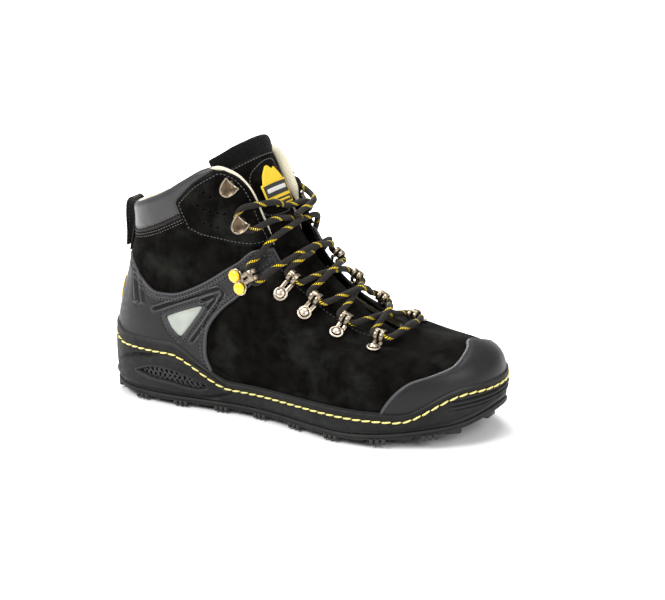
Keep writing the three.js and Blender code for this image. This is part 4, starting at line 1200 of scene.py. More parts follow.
def fan_places(line, side, guess):
    """Fan places (c, v) under side-view [x, z] points, found by stepping down the slope."""
    places = []
    u, v = guess
    for x, z in line:
        for _ in range(30):
            spots = np.array([[u, v], [u + NUDGE, v], [u, v + NUDGE]])
            point, _ = upper(on_side(spots[:, 0], side), spots[:, 1])
            flat = point[:, [0, 2]]
            slopes = np.stack([flat[1] - flat[0], flat[2] - flat[0]], -1) / NUDGE
            miss = np.array([x, z]) - flat[0]
            if np.abs(miss).max() < 1e-3:
                break
            step = np.linalg.lstsq(slopes, miss, rcond=None)[0]
            step = np.clip(step, -LONGEST_STEP, LONGEST_STEP)
            u = float(np.clip(u + step[0], 0.05, RIDGE - 0.05))
            v = float(np.clip(v + step[1], -0.4, TOP_ROW + 0.4))
        places.append([on_side(u, side), v])
    return np.array(places)


# ---------------------------------------------------------------- inner layers

STIFFENER = [[-60, 10], [40, 10], [28, 66], [-60, 86]]
TOE_INSERT = [[206, 10], [300, 10], [300, 120], [209, 120]]
ANKLE_FOAM = [
    [-60, 87], [28, 67], [52, 80], [64, 106], [84, 120], [84, 128], [60, 132], [36.5, 140],
    [11.3, 129.8], [-13, 121.3], [-60, 117],
]


def make_hidden_layers():
    """Layers inside the upper: the stiffener, the toe insert and the ankle foam."""
    layers = (
        ("heel_stiffener", STIFFENER, (-3.4, 3.4), (-0.1, 5), "board"),
        ("toe_cap_insert", TOE_INSERT, (3.6, 8.4), (-0.1, 5), "shell"),
        ("ankle_foam", ANKLE_FOAM, (-4.9, 4.9), (2, 7), "foam"),
    )
    for name, shape, c_range, v_range, look in layers:
        sheet = Sheet(np.array(shape, float), c_range, v_range, 2.5, INSIDE_FLOOR)
        top = PADDING_IN + 2.0 * rounded_edge(sheet.rim_distance, 2.5)
        sheet.build(name + "_pad", np.maximum(top, PADDING_IN + GAP), PADDING_IN, look, name)


def make_lining():
    sheet = Sheet(LINING, (0.0, AROUND - 0.0001), (-0.1, 8.0), 1.8, INSIDE_FLOOR)
    top = LINING_OUT - 0.5 * (1 - rounded_edge(sheet.rim_distance, 2))
    sheet.build("lining_cloth", top, LINING_IN, "lining", "lining")


def make_footbed():
    """The removable footbed: a cupped foam sole with a raised heel rim, over the insole board."""
    c = np.linspace(0, AROUND, 241)[:-1]
    for name, offset, low, high, cup, look in (
        ("insole_board", -0.9, GAP, 2.5, 0.0, "board"),
        ("footbed", LINING_IN - 0.5, INSIDE_FLOOR, 6.0, 1.5, "foam"),
    ):
        wall = rand_ring(c, offset, lambda x: floor_height(x) + high)
        rings = []
        for share in (0.02, 0.3, 0.6, 0.8, 0.93, 1.0):
            rings.append(drawn_in(wall, share))
            rings[-1][:, 2] = floor_height(rings[-1][:, 0]) + high + cup * smooth_step(0.6, 1, share)
        for share in (1.0, 0.02):
            rings.append(drawn_in(wall, share))
            rings[-1][:, 2] = floor_height(rings[-1][:, 0]) + low
        build(name + "_form", *stacked(rings[::-1]), look, replaces=name)


def drawn_in(ring, share):
    """A ring drawn in towards the boot's middle line until the given share of it is left."""
    middle = ring.copy()
    middle[:, 1] = toe_bend(ring[:, 0])
    return middle * (1 - share) + ring * share


def stacked(rings):
    """A closed body through rings of points round the boot."""
    count = len(rings[0])
    faces = [grid_quads(len(rings), count, closed=True)]
    faces += rung_cap(0, count, flip=True) + rung_cap((len(rings) - 1) * count, count, flip=False)
    return merged([(np.concatenate(rings), faces)])


def rung_cap(first, count, flip):
    """Faces that close a ring with rungs from one side of the boot to the other."""
    half = count // 2
    quads = []
    triangles = []
    for k in range(half):
        corners = [first + k, first + k + 1, first + count - k - 1, first + (count - k) % count]
        unique = list(dict.fromkeys(corners))
        if len(unique) == 4:
            quads.append(unique)
        elif len(unique) == 3:
            triangles.append(unique)
    groups = [np.array(group) for group in (quads, triangles) if group]
    return [group[:, ::-1] for group in groups] if flip else groups


# ---------------------------------------------------------------- padded collar

CLOTH = {
    "use_pressure": True, "quality": 6, "mass": 0.3, "tension_stiffness": 8, "compression_stiffness": 8,
    "shear_stiffness": 5, "bending_stiffness": 0.6,
}
CLOTH_FRAMES = 20
PAD_PRESSURE = 3.0
ROLL_PRESSURE = 4.0


def positions(mesh):
    points = np.zeros(len(mesh.vertices) * 3, np.float32)
    mesh.vertices.foreach_get("co", points)
    return points.reshape(-1, 3)


def evaluated(piece):
    return piece.evaluated_get(bpy.context.evaluated_depsgraph_get())


def cloth_puff(piece, pinned, pressure, reach):
    """Swells a closed mesh as pressurised cloth with pinned points, keeps that shape and smooths it.

    No point moves further than reach millimetres.
    """
    mesh = piece.data
    rest = positions(mesh)
    group = piece.vertex_groups.new(name="pinned")
    group.add([int(k) for k in np.flatnonzero(pinned)], 1.0, "REPLACE")
    cloth = piece.modifiers.new("Cloth", "CLOTH")
    cloth.settings.vertex_group_mass = group.name
    cloth.settings.uniform_pressure_force = pressure
    cloth.settings.effector_weights.gravity = 0
    for setting, value in CLOTH.items():
        setattr(cloth.settings, setting, value)
    cloth.collision_settings.use_collision = False
    cloth.collision_settings.use_self_collision = False
    cloth.point_cache.frame_start = 1
    cloth.point_cache.frame_end = CLOTH_FRAMES
    scene = bpy.context.scene
    for frame_number in range(1, CLOTH_FRAMES + 1):
        scene.frame_set(frame_number)
    step = positions(evaluated(piece).data) - rest
    piece.modifiers.remove(cloth)
    scene.frame_set(1)
    length = np.linalg.norm(step, axis=1, keepdims=True)
    capped = rest + step * np.minimum(1, reach * MM / np.maximum(length, 1e-9))
    mesh.vertices.foreach_set("co", capped.astype(np.float32).ravel())
    mesh.update()
    smoother = piece.modifiers.new("Subdivision", "SUBSURF")
    smoother.levels = 1
    smoother.render_levels = 1
    piece_data = bpy.data.meshes.new_from_object(evaluated(piece))
    piece.modifiers.remove(smoother)
    piece.data = piece_data
    piece_data.shade_smooth()


COLLAR_STEP = 2.6


def make_collar():
    """The padded leather collar and its lining, both swollen between the bottom seam and the top edge."""
    sheet = Sheet(COLLAR, (-4.9, 4.9), (5.2, 8.2), COLLAR_STEP, floor_clearance=None)
    edge = sheet.rim_distance < 0.8
    whole = np.ones(len(edge), bool)
    top = -0.6 + 3.2 * rounded_edge(sheet.rim_distance, 5)
    pad = sheet.build("collar_pad", top, -1.0, "collar_leather", "collar")
    cloth_puff(pad, np.concatenate([edge, whole]), PAD_PRESSURE, reach=2.2)
    bottom = -1.5 - 2.9 * rounded_edge(sheet.rim_distance, 4)
    pad = sheet.build("collar_lining_pad", -1.3, bottom, "lining", "collar_lining")
    cloth_puff(pad, np.concatenate([whole, edge]), PAD_PRESSURE, reach=1.8)


def make_collar_seam():
    """A dark rolled band over the collar's bottom seam, with a row of stitches each side of it."""
    side_line = evenly(curve(*COLLAR_SEAM[1:3], [36.0, 142.0]), 1.0)
    right = fan_places(side_line[::-1], INNER, guess=(2.6, 6.5))
    left = fan_places(side_line, OUTER, guess=(1.0, 6.2))
    heel_v = (left[0, 1] + right[-1, 1]) / 2
    heel_c = np.linspace(right[-1, 0] - AROUND, left[0, 0], 40)[1:-1]
    across = np.linspace(-1, 1, len(heel_c))
    heel = np.stack([heel_c, heel_v - 0.10 * (1 - across**2)], -1)
    places = np.concatenate([right - (AROUND, 0), heel, left])
    for _ in range(12):
        places[1:-1] = (places[:-2] + 2 * places[1:-1] + places[2:]) / 4
    point, normal = upper(places[:, 0], places[:, 1])
    tube, _, _ = sweep(point + normal * 1.5, 1.35, sides=12, up=normal, flat=0.75)
    build("collar_seam_band", *tube, "strap", slot="collar_leather")
    down = unit(np.cross(np.gradient(point, axis=0), normal))
    rows = ((2.6, 1.9), (-2.4, 2.2), (4.6, 1.85))
    lines = [(point + down * gap + normal * lift, normal) for gap, lift in rows]
    stitch_lines("collar_seam_stitches", lines, "dark_thread", pitch=2.7, length=2.0)


# ---------------------------------------------------------------- tongue

TONGUE_EDGE = 4.45  # fan column of the tongue's outer edge
TONGUE_LOW = 3.85  # fan rows of its lower and upper end
TONGUE_HIGH = 7.75
TONGUE_FLARE = 0.36  # fan columns by which each side of the tongue's top stands wider
CROWN = -2.6  # offsets of its face at the ridge and where it is tucked under
TUCKED = -6.2
ROLL_LOW = 7.33  # row where the fleece roll starts


def tongue_face(s, v):
    """Offset of the tongue's front face at width share s, -1 to 1, and row v."""
    tuck = np.maximum(smooth_step(0.1, 0.45, np.abs(s)), 1 - smooth_step(4.4, 4.9, v))
    return CROWN + (TUCKED - CROWN) * tuck


def tongue_grid(columns, rows, low, high, reach=0.0):
    """Width shares, rows and places of the tongue; reach widens its top by that many fan columns."""
    s = np.linspace(-1, 1, columns + 1)[None, :] * np.ones((rows + 1, 1))
    v = np.linspace(low, high, rows + 1)[:, None] * np.ones((1, columns + 1))
    half = RIDGE - TONGUE_EDGE + TONGUE_FLARE * smooth_step(7, 7.35, v) + reach * smooth_step(7.1, 7.3, v)
    return s, v, RIDGE + s * half


def pad_between(c, v, front, back):
    """A closed pad between front and back offsets over a grid of the ridge."""
    rows, columns = c.shape
    count = rows * columns
    quads = grid_quads(rows, columns)
    rim, after = grid_rim(rows, columns)
    wall = np.stack([after, rim, rim + count, after + count], -1)
    points = [lifted(c, v, offset).reshape(-1, 3) for offset in (front, back)]
    return np.concatenate(points), [np.concatenate([quads, quads[:, ::-1] + count, wall])], rim


def make_tongue():
    """The padded tongue: a nubuck front, a cream back, a fleece roll at its top and its stitches."""
    s, v, c = tongue_grid(34, 66, TONGUE_LOW - 0.1, ROLL_LOW + 0.04)
    c = c + 0.5 * s * (1 - smooth_step(4.9, 5.6, v))
    edge = np.minimum(np.minimum(1 - np.abs(s), (v - TONGUE_LOW) / 0.6), (ROLL_LOW + 0.045 - v) * 2.6)
    face = tongue_face(s, v) - 1.2 * (1 - rounded_edge(edge, 0.16))
    face += 0.35 * np.sin(v * 9 + 2 * s) * smooth_step(0.3, 0.8, np.abs(s))
    face += 0.6 * smooth_step(6.9, 7.1, v)
    points, faces, _ = pad_between(c, v, face, tongue_face(s, v) - 2.2)
    build("tongue_front", points, faces, "nubuck", body="tongue", slot="suede", replaces="tongue")
    back_low = TONGUE_LOW + 0.2
    s, v, c = tongue_grid(22, 44, back_low, TONGUE_HIGH - 0.01)
    face = tongue_face(s, v)
    edge = np.minimum(np.minimum(1 - np.abs(s), (v - back_low) / 0.6), (TONGUE_HIGH - v) / 0.5)
    points, faces, _ = pad_between(c, v, face - 2.4, face - 2.7 - 1.5 * rounded_edge(edge, 0.2))
    back = build("tongue_back_pad", points, faces, "lining", body="tongue")
    cloth_puff(back, np.concatenate([np.ones(s.size, bool), edge.ravel() < 0.06]), PAD_PRESSURE, reach=2.0)
    make_tongue_roll()
    make_tongue_stitches()


def make_tongue_roll():
    """The padded fleece roll across the tongue's top."""
    s, v, c = tongue_grid(34, 16, ROLL_LOW, TONGUE_HIGH - 0.01, reach=0.06)
    across = (v - ROLL_LOW) / (TONGUE_HIGH - 0.01 - ROLL_LOW)
    round_share = np.sqrt(np.clip(1 - (2 * across - 1) ** 2, 0, 1)) * rounded_edge(1 - np.abs(s), 0.16)
    v = v - 0.1 * np.abs(s) ** 5 * (1 - across)
    face = tongue_face(s, v)
    points, faces, rim = pad_between(c, v, face - 0.9 + 2.3 * round_share, face - 2.3)
    piece = build("tongue_roll", points, faces, "suede", body="tongue")
    pinned = np.concatenate([np.zeros(s.size, bool), np.ones(s.size, bool)])
    pinned[rim] = True
    cloth_puff(piece, pinned, ROLL_PRESSURE, reach=1.6)


LABEL_ROW = 6.88  # row of the label's middle
LABEL_COLUMN = RIDGE + 0.02
LABEL_WIDE = 24  # millimetres per fan column and per row there
LABEL_HIGH = 44


def label_places(across, up):
    """Fan places of label millimetres."""
    return LABEL_COLUMN + across / LABEL_WIDE, LABEL_ROW + up / LABEL_HIGH


def make_tongue_stitches():
    """Dark stitches below the roll and round the label."""
    s = np.linspace(-0.8, 0.8, 130)
    loop = smooth_path([[-18, -21], [-18, 4], [-7, 12.5], [8, 12.5], [17, 5], [17, -21]], 0.7, closed=True)
    rows = [(RIDGE + s * (RIDGE - TONGUE_EDGE + TONGUE_FLARE), np.full(len(s), ROLL_LOW - 0.035)),
            label_places(loop[:, 0], loop[:, 1])]
    lines = []
    for c, v in rows:
        width = (c - RIDGE) / (RIDGE - TONGUE_EDGE + TONGUE_FLARE * smooth_step(7, 7.35, v))
        lift = tongue_face(width, v) + 0.75 * smooth_step(6.9, 7.1, v) + 0.2
        lines.append((lifted(c, v, lift), upper(c, v)[1]))
    stitch_lines("tongue_stitches", lines, "dark_thread", pitch=2.5, length=1.7, body="tongue")


def raised_patch(name, gap_of, c_range, v_range, under, relief, look, replaces=None, **ride):
    """A plate cut where gap_of(c, v) is above 0, lying `under` off the upper, relief(gap, point) thick."""
    c = np.linspace(*c_range, 90)
    v = np.linspace(*v_range, 90)
    places, faces = cut_grid(gap_of(*np.meshgrid(c, v)))
    c = np.interp(places[:, 1], np.arange(len(c)), c)
    v = np.interp(places[:, 0], np.arange(len(v)), v)
    base, normal = upper(c, v)
    top = under + relief(np.maximum(gap_of(c, v), 0), base)
    body = slab(base, normal, faces, rim_edges(faces), top, under)
    build(name, *body, look, replaces, slot="patch", **ride)


LABEL_PEAK = [[-12.5, -4], [-9, 3.2], [-3.6, 9], [-0.8, 9], [3, 5.2], [5.6, 6.8], [12.5, -4]]


def rectangle(left, low, right, high):
    return np.array([[left, low], [right, low], [right, high], [left, high]], float)


def make_tongue_label():
    """A plain two-part label: a yellow peak over dark plates in yellow frames, with a bar on each."""
    layers = (
        ("label_peak", np.array(LABEL_PEAK, float), 0.35, 0.9, "patch_yellow", "tongue_label"),
        ("label_frame", rectangle(-14.5, -14.5, 14.5, -3.5), 0.45, 0.7, "patch_yellow", None),
        ("label_plate", rectangle(-13.2, -13.2, 13.2, -4.8), 1.15, 0.25, "patch_dark", None),
        ("label_foot_frame", rectangle(-7, -20.5, 14.5, -14), 0.45, 0.7, "patch_yellow", None),
        ("label_foot_plate", rectangle(-5.8, -19.3, 13.3, -15.2), 1.15, 0.25, "patch_dark", None),
        ("label_bar_upper", rectangle(-11, -10.4, 11, -7.6), 1.4, 0.2, "patch_pale", None),
        ("label_bar_lower", rectangle(-3.5, -17.9, 11, -16.6), 1.4, 0.2, "patch_yellow", None),
    )
    for name, shape, under, thick, look, stands_for in layers:
        def gap_of(c, v, shape=shape):
            return inside_distance(shape, (c - LABEL_COLUMN) * LABEL_WIDE, (v - LABEL_ROW) * LABEL_HIGH)

        def relief(gap, _, thick=thick):
            return thick * (0.35 + 0.65 * rounded_edge(gap, 0.6))

        raised_patch(name, gap_of, (5.2, 6.8), (6.35, 7.15), CROWN + under, relief, look, stands_for,
                     body="tongue")


# ---------------------------------------------------------------- sole

RAND_THICK = 4.9
RAND_CREST = 1.2  # the rand's inner edge above its outer one
WALL_BELLY = 0.9
SOLE_COLUMNS = 900


def wall_bottom(x):
    return sole_bottom(x) + PLATE + GAP


POD_TOP = [
    [-34, 22], [-16, 33], [6.3, 37.3], [13.4, 38.8], [26, 38.6], [38.7, 36], [50, 31.2], [61.5, 24.4],
    [72, 17.5],
]
POD_LOW = [[-38, 15.7], [-29, 12.5], [-15, 11], [10, 11], [35, 10.6], [55, 12], [72, 17.5]]
NOTCH = [[3.6, 43], [6.3, 37.3], [-4, 36]]
GRID_WINDOW = [
    [-6.5, 24.0], [5.5, 28.5], [16, 29.3], [31, 27.2], [43, 23.8], [53, 19.6], [48.2, 17.2], [36.2, 17.2],
    [21.4, 19.4], [4.4, 20.8],
]
TOE_RIDGES = (29.6, 32.6, 36.0)  # heights of the grooves across the toe bumper at its front


def sole_relief(point):
    """Relief of the sole's wall: heel pod with its window, toe grooves and the stitch channel."""
    x, y, z = point.T
    relief = -0.7 * bump(z, stitch_height(x), 1.0)
    relief += 0.4 * bump(z, rand_top(x) - 0.9, 1.2)
    beside = smooth_step(8, 20, np.abs(y))
    pod = outline(curve(*POD_TOP), curve(*POD_LOW[::-1]))
    depth = inside_distance(pod, x, z)
    clear = beside * (1 - bump(z, stitch_height(x), 2.4))
    relief += clear * (1.5 * smooth_step(-0.2, 2.6, depth) - 1.3 * bump(depth, -0.6, 0.9))
    relief -= 0.7 * beside * bump(line_distance(curve(*NOTCH), x, z), 0, 0.7)
    window = inside_distance(curve(*GRID_WINDOW, GRID_WINDOW[0]), x, z)
    relief -= beside * 3.2 * smooth_step(-0.3, 1.2, window)
    relief += beside * 0.7 * bump(window, -1.2, 1.0)
    front = smooth_step(236, 246, x)
    for height in TOE_RIDGES:
        line = height - 0.12 * (262 - x)
        relief -= 1.15 * front * bump(z, line, 0.7)
        relief += 0.35 * front * bump(z, line + 1.5, 0.8)
    layer = wall_bottom(x) + 2.4 + 1.2 * smooth_step(215, 255, x)
    relief -= 0.55 * bump(z, layer, 0.55) * smooth_step(95, 150, x)
    return relief


def horizontal_normals(ring):
    step = np.roll(ring, -1, axis=0) - np.roll(ring, 1, axis=0)
    flat = np.stack([step[:, 1], -step[:, 0], 0 * step[:, 0]], -1)
    return unit(flat)


def sole_rings():
    """Rings of the sole's wall, from its underside to the rand's inner edge, and their places."""
    c = np.linspace(0, AROUND, SOLE_COLUMNS + 1)[:-1]
    low = sole_edge(c, 1.5, wall_bottom)
    shoulder = sole_edge(c, 0, lambda x: wall_bottom(x) + 3)
    top = rand_ring(c, RAND_THICK, rand_top)
    crest = rand_ring(c, RAND_THICK - 2.4, lambda x: rand_top(x) + RAND_CREST)
    return c, low, shoulder, top, crest


def sole_wall(shoulder, top, share):
    """The sole's outer wall at a share of its height, slightly bellied."""
    ring = shoulder * (1 - share) + top * share
    return ring + horizontal_normals(ring) * WALL_BELLY * math.sin(math.pi * share)


def make_midsole():
    """The midsole and its rand: the relieved wall, the rolled top edge and the trough inside it."""
    c, low, shoulder, top, crest = SOLE_RINGS
    rings = [drawn_in(low, 0.015), drawn_in(low, 0.7), low]
    rings.append(low * 0.6 + shoulder * 0.4 + horizontal_normals(low) * 0.3)
    for share in np.linspace(0, 0.955, 62):
        ring = sole_wall(shoulder, top, share)
        rings.append(ring + horizontal_normals(ring) * sole_relief(ring)[:, None])
    rand = horizontal_normals(top)
    for share in (0.15, 0.45, 0.8):
        rings.append(top * (1 - share) + crest * share + rand * 0.35 * math.sin(math.pi * share))
    rings.append(crest)
    for drop, offset in ((0.8, OVERLAY_OUT + 0.35), (3.0, OVERLAY_OUT - 1.25), (9.0, OVERLAY_OUT - 1.25)):
        def height(x, drop=drop):
            return np.maximum(rand_top(x) + RAND_CREST - drop, floor_height(x) + 0.2)

        rings.append(rand_ring(c, offset, height))
    floor = rand_ring(c, 0.2, floor_height)
    build("midsole_body", *stacked([*rings, floor, drawn_in(floor, 0.015)]), "rubber", "midsole")


def wall_place(x, z, side):
    """Point on the sole's wall above a side-view place, and the outward direction there."""
    c, _, shoulder, top, _ = SOLE_RINGS
    half = (c < RIDGE) if side == OUTER else (c > RIDGE)
    foot = shoulder[half]
    head = top[half]
    share = np.clip((z - foot[:, 2]) / (head[:, 2] - foot[:, 2]), 0, 1)
    place = foot * (1 - share)[:, None] + head * share[:, None]
    k = np.abs(place[:, 0] - x).argmin()
    outward = horizontal_normals(place)[k]
    return place[k] + outward * WALL_BELLY * math.sin(math.pi * share[k]), outward


def make_sole_grid():
    """The lattice of crossing bars set in the window on each side of the heel."""
    window = np.array(GRID_WINDOW, float)
    shape = curve(*window, window[0])
    low = shape.min(0)
    high = shape.max(0)
    bars = []
    for slope in (1, -1):
        for start in np.arange(low[0] - 16, high[0] + 16, 4.2):
            z = np.arange(low[1], high[1], 0.5)
            x = start + slope * (z - low[1]) * 0.62 + 0.5 * np.sin(z * 1.1)
            kept = inside_distance(shape, x, z) > 0.25
            if kept.sum() > 4:
                bars.append(np.stack([x[kept], z[kept]], -1))
    for name, side, _ in SIDES:
        parts = []
        for bar in bars:
            places, normals = np.swapaxes([wall_place(x, z, side) for x, z in bar], 0, 1)
            tube, _, _ = sweep(places - normals * 0.9, 0.85, sides=6, up=normals)
            parts.append(tube)
        build("sole_grid_" + name, *merged(parts), "sole_grid", slot="rubber")


SOLE_RINGS = sole_rings()


def make_welt_stitches():
    """Long yellow stitches round the rand, each a leaning body that lies in the stitch channel."""
    _, _, shoulder, top, _ = SOLE_RINGS
    heights = stitch_height(top[:, 0])
    share = np.clip((heights - shoulder[:, 2]) / (top[:, 2] - shoulder[:, 2]), 0, 1)[:, None]
    line = shoulder * (1 - share) + top * share
    outward = horizontal_normals(line)
    line = line + outward * (WALL_BELLY * np.sin(math.pi * share) + 0.15)
    parts = stitch_bodies(line, outward, pitch=7.1, length=6.5, radius=0.72, lean=0.10)
    build("welt_thread", *merged(parts), "thread", "welt_stitch")


# Inset and height of each ring up the plate's edge and in over its top.
PLATE_EDGE = (
    (0.9, 0.2), (0.3, 0.6), (0, 1.1), (0, 2.2), (-0.25, 2.9), (0, 3.5), (0.3, PLATE), (3, PLATE),
)


def make_outsole():
    """The outsole plate: its underside, its grooved edge and its top."""
    c = np.linspace(0, AROUND, 361)[:-1]
    under = sole_edge(c, 2, sole_bottom)
    rings = [drawn_in(under, 0.015), drawn_in(under, 0.5), under]
    for inset, height in PLATE_EDGE:
        rings.append(sole_edge(c, inset, lambda x, height=height: sole_bottom(x) + height))
    build("outsole_plate", *stacked([*rings, drawn_in(rings[-1], 0.015)]), "rubber", "outsole")


def bevelled_block(center, size, turn, bevel=0.5):
    """A tread block with bevelled edges; it hangs from the plate down to center's height."""
    length, width, height = size
    rings = []
    for inset, level in ((bevel, 0), (0, bevel), (-0.25, height)):
        half_length = length / 2 - inset
        half_width = width / 2 - inset
        corner = min(0.8, half_length * 0.4)
        for sx, sy in ((1, 1), (-1, 1), (-1, -1), (1, -1)):
            pair = [(sx * half_length, sy * (half_width - corner), level),
                    (sx * (half_length - corner), sy * half_width, level)]
            rings += pair if sx * sy > 0 else pair[::-1]
    return np.array(rings) @ turn_matrix(turn) + np.asarray(center, float), tube_faces(3, 8)


def turn_matrix(turn):
    """Turns row vectors about z."""
    return np.array([[math.cos(turn), math.sin(turn), 0], [-math.sin(turn), math.cos(turn), 0], [0, 0, 1]])


EDGE_SPACING = 33
FIN = (2.5, 13, 4)  # length, width and height of one fin of an edge block
FIN_PITCH = 4.0
FIN_DROP = 2.9  # how far the fins hang below the plate
FIN_FRONT = 246  # no fins ahead of this
LUG_INSET = 4.5
EDGE_LUG = (11, 9, 5)
HEEL_LUG = (12, 26, 5)
HEEL_LUG_PLACES = (0, 17)
BALL_LUG = (12, 14, 5)
BALL_LUG_PLACES = (112, 130, 148, 166, 184, 202)
BALL_LUG_TURN = 0.35


def make_tread():
    """The tread: three fins at each place along the edge, blocks between them and down the middle."""
    edge = sole_edge(np.minimum(np.linspace(0, AROUND, 721), AROUND - 1e-6), 6.4, lambda x: 0 * x)
    steps = travelled(edge)
    total = int(steps[-1] // EDGE_SPACING)

    def along_edge(at):
        """Place at a distance along the edge, and the step to a place 1 mm on."""
        here, ahead = np.array([np.interp((at, at + 1), steps, edge[:, axis]) for axis in (0, 1)]).T
        return here[0], here[1], ahead - here

    parts = []
    for k in range(total):
        for fin in (-1, 0, 1):
            x, y, ahead = along_edge((k + 0.5) / total * steps[-1] + fin * FIN_PITCH)
            if x < FIN_FRONT:
                place = (x, y, sole_bottom(x) - FIN_DROP)
                parts.append(bevelled_block(place, FIN, math.atan2(ahead[1], ahead[0]), bevel=0.35))
        x, y, ahead = along_edge((k + 1.0) / total * steps[-1])
        place = (x - ahead[1] * LUG_INSET, y + ahead[0] * LUG_INSET, sole_bottom(x) - LUG_HEIGHT)
        parts.append(bevelled_block(place, EDGE_LUG, math.atan2(ahead[1], ahead[0])))
    for x in HEEL_LUG_PLACES:
        parts.append(bevelled_block((x, 0, sole_bottom(x) - LUG_HEIGHT), HEEL_LUG, 0))
    for x in BALL_LUG_PLACES:
        half_span = 8 + 0.12 * (x - BALL_LUG_PLACES[0])
        for side in (OUTER, INNER):
            place = (x, side * half_span + toe_bend(x), sole_bottom(x) - LUG_HEIGHT)
            parts.append(bevelled_block(place, BALL_LUG, side * BALL_LUG_TURN))
    build("outsole_tread", *merged(parts), "rubber")


# ---------------------------------------------------------------- lace hardware

METAL = 1.2
LOOP_BORE = 3.5
LOOP_TUBE = 4.5
LOOP_LENGTH = 7.2
ANKLE_LENGTH = 8.0
TUNNEL_SLOT = 0.8
LACE_CLEAR = 5.6  # distance from a tunnel's middle at which the lace may bend
PAD_SIDES = 32
LACE_RADIUS = 2.2
LACE_LIFT = LACE_RADIUS + 0.4
HARDWARE_LIFT = 0.9
LOOP_LIFT = LEATHER + HARDWARE_LIFT
STRAP_LIFT = OVERLAY_OUT + HARDWARE_LIFT
# Fan places of each loop's rivet and tunnel, from the toe up.
LACE_LOOPS = [
    ((4.6, 3.42), (5.05, 3.8)), ((4.5, 4.1), (5, 4.38)), ((4.32, 4.62), (4.85, 4.85)),
    ((4.2, 5.1), (4.75, 5.32)),
]
ANKLE_HOOK = ((3.43, 5.15), (3.93, 5.52))
ANKLE_RIVETS = (-4.6, 4.6)
# The lower and the upper speed hook of each side.
SPEED_HOOKS = {OUTER: [(4.31, 6.455), (4.45, 7.06)], INNER: [(4.2, 6.4), (3.95, 6.95)]}


class Stand:
    """A frame that stands on the surface: x ahead along it, z away from the foot."""

    def __init__(self, origin, ahead, up):
        self.origin = origin
        self.z = unit(up)
        self.x = unit(ahead - self.z * (ahead @ self.z))
        self.y = np.cross(self.z, self.x)
        self.axes = np.stack([self.x, self.y, self.z])

    def out(self, points):
        return np.asarray(points, float) @ self.axes + self.origin

    def local(self, points):
        return (np.asarray(points, float) - self.origin) @ self.axes.T


def loop_stand(place, side, lift):
    (ru, rv), (tu, tv) = place
    point, normal = upper(on_side(ru, side), rv)
    center = lifted(on_side(tu, side), tv, lift + LOOP_TUBE + 0.6)
    origin = point + normal * lift
    stand = Stand(origin, center - origin, normal)
    reach, _, rise = stand.local(center)
    return stand, reach, rise


def hook_stand(place, side):
    u, v = place
    point, normal = upper(on_side(u, side), v)
    ahead = lifted(on_side(u + 0.3, side), v, 0.0) - point
    return Stand(point + normal * STRAP_LIFT, ahead, normal)


EASE = 0.25  # how far the edges of sheet metal are eased


def band(profile, low, high, thick):
    """A bent sheet-metal band: a local x, z line with a width along y, a thickness and eased edges."""
    profile = np.asarray(profile, float)
    tangent = unit(np.gradient(profile, axis=0))
    normal = np.stack([-tangent[:, 1], tangent[:, 0]], -1)
    half = thick / 2
    section = [
        (low + EASE, half), (high - EASE, half), (high, half - EASE), (high, EASE - half),
        (high - EASE, -half), (low + EASE, -half), (low, EASE - half), (low, half - EASE),
    ]
    rings = []
    for y, offset in section:
        flat = profile + normal * offset
        rings.append(np.stack([flat[:, 0], np.full(len(flat), y), flat[:, 1]], -1))
    return np.stack(rings, 1).reshape(-1, 3), tube_faces(len(profile), len(section))


def turned(profile, sides=28, center_y=0.0):
    """A body turned about local z from [radius, height] points, from its low middle to its top middle."""
    turn = np.linspace(0, 2 * np.pi, sides, endpoint=False)
    rings = [np.stack([r * np.cos(turn), center_y + r * np.sin(turn), np.full(sides, float(z))], -1)
             for r, z in profile]
    return np.concatenate(rings), tube_faces(len(profile), sides)


def arc(center, radius, start, end, count=18):
    """Points of a local x, z arc between two angles in degrees."""
    angles = np.radians(np.linspace(start, end, count))
    return np.stack([center[0] + radius * np.cos(angles), center[1] + radius * np.sin(angles)], -1)


def dome(radius, base, rise, count):
    """[radius, height] points of a dome, from its edge to its top."""
    return [[radius * math.sin(a), base + rise * math.cos(a)] for a in np.linspace(math.pi / 2, 0.02, count)]


def placed(stand, *parts):
    """Parts in a stand's frame as one body on the boot."""
    points, faces = merged(parts)
    return stand.out(points), faces


def pad_plate(radius, center_y=0.0):
    """The round base of a loop, with a raised rim and an open middle for the rivet."""
    edge = 0.3
    points, faces = turned([
        [2.5, 0], [radius - edge, 0], [radius, edge], [radius, METAL - edge], [radius - edge, METAL],
        [radius - 1.1, METAL], [radius - 1.5, METAL - 0.3], [2.5, METAL - 0.3],
    ], PAD_SIDES, center_y)
    index = np.arange(PAD_SIDES)
    after = (index + 1) % PAD_SIDES
    last = len(points) - PAD_SIDES
    wall = np.stack([last + index, last + after, after, index], -1)
    return points, [np.concatenate([faces[0], wall])]


def tunnel_bands(root, reach, rise, length):
    """Two rolled bands with a slot between them that carry the lace, joined by a bar over its top."""
    middle = (LOOP_BORE + LOOP_TUBE) / 2
    thick = LOOP_TUBE - LOOP_BORE
    profile = np.concatenate([
        [[root - 1.2, METAL / 2], [root + 0.6, METAL / 2 + 0.15]],
        arc((reach, rise), middle, 225, -45, 30),
    ])
    profile = evenly(smooth_path(profile, 0.5), 0.5)
    half = length / 2
    return [
        band(profile, TUNNEL_SLOT, half, thick),
        band(profile, -half, -TUNNEL_SLOT, thick),
        band(arc((reach, rise), middle + 0.08, 95, 50, 8), -half, half, thick),
    ]


def small_rivet():
    """A domed rivet with a flat rolled flange, its shank and its inner washer."""
    top = METAL + GAP
    return turned([
        [0.05, -4], [3.2, -4], [3.4, -3.8], [3.4, -3.5], [2.1, -3.4], [2.1, top - 0.1], [2.9, top - 0.1],
        *dome(3.1, top + 0.25, 1.35, 10),
    ])


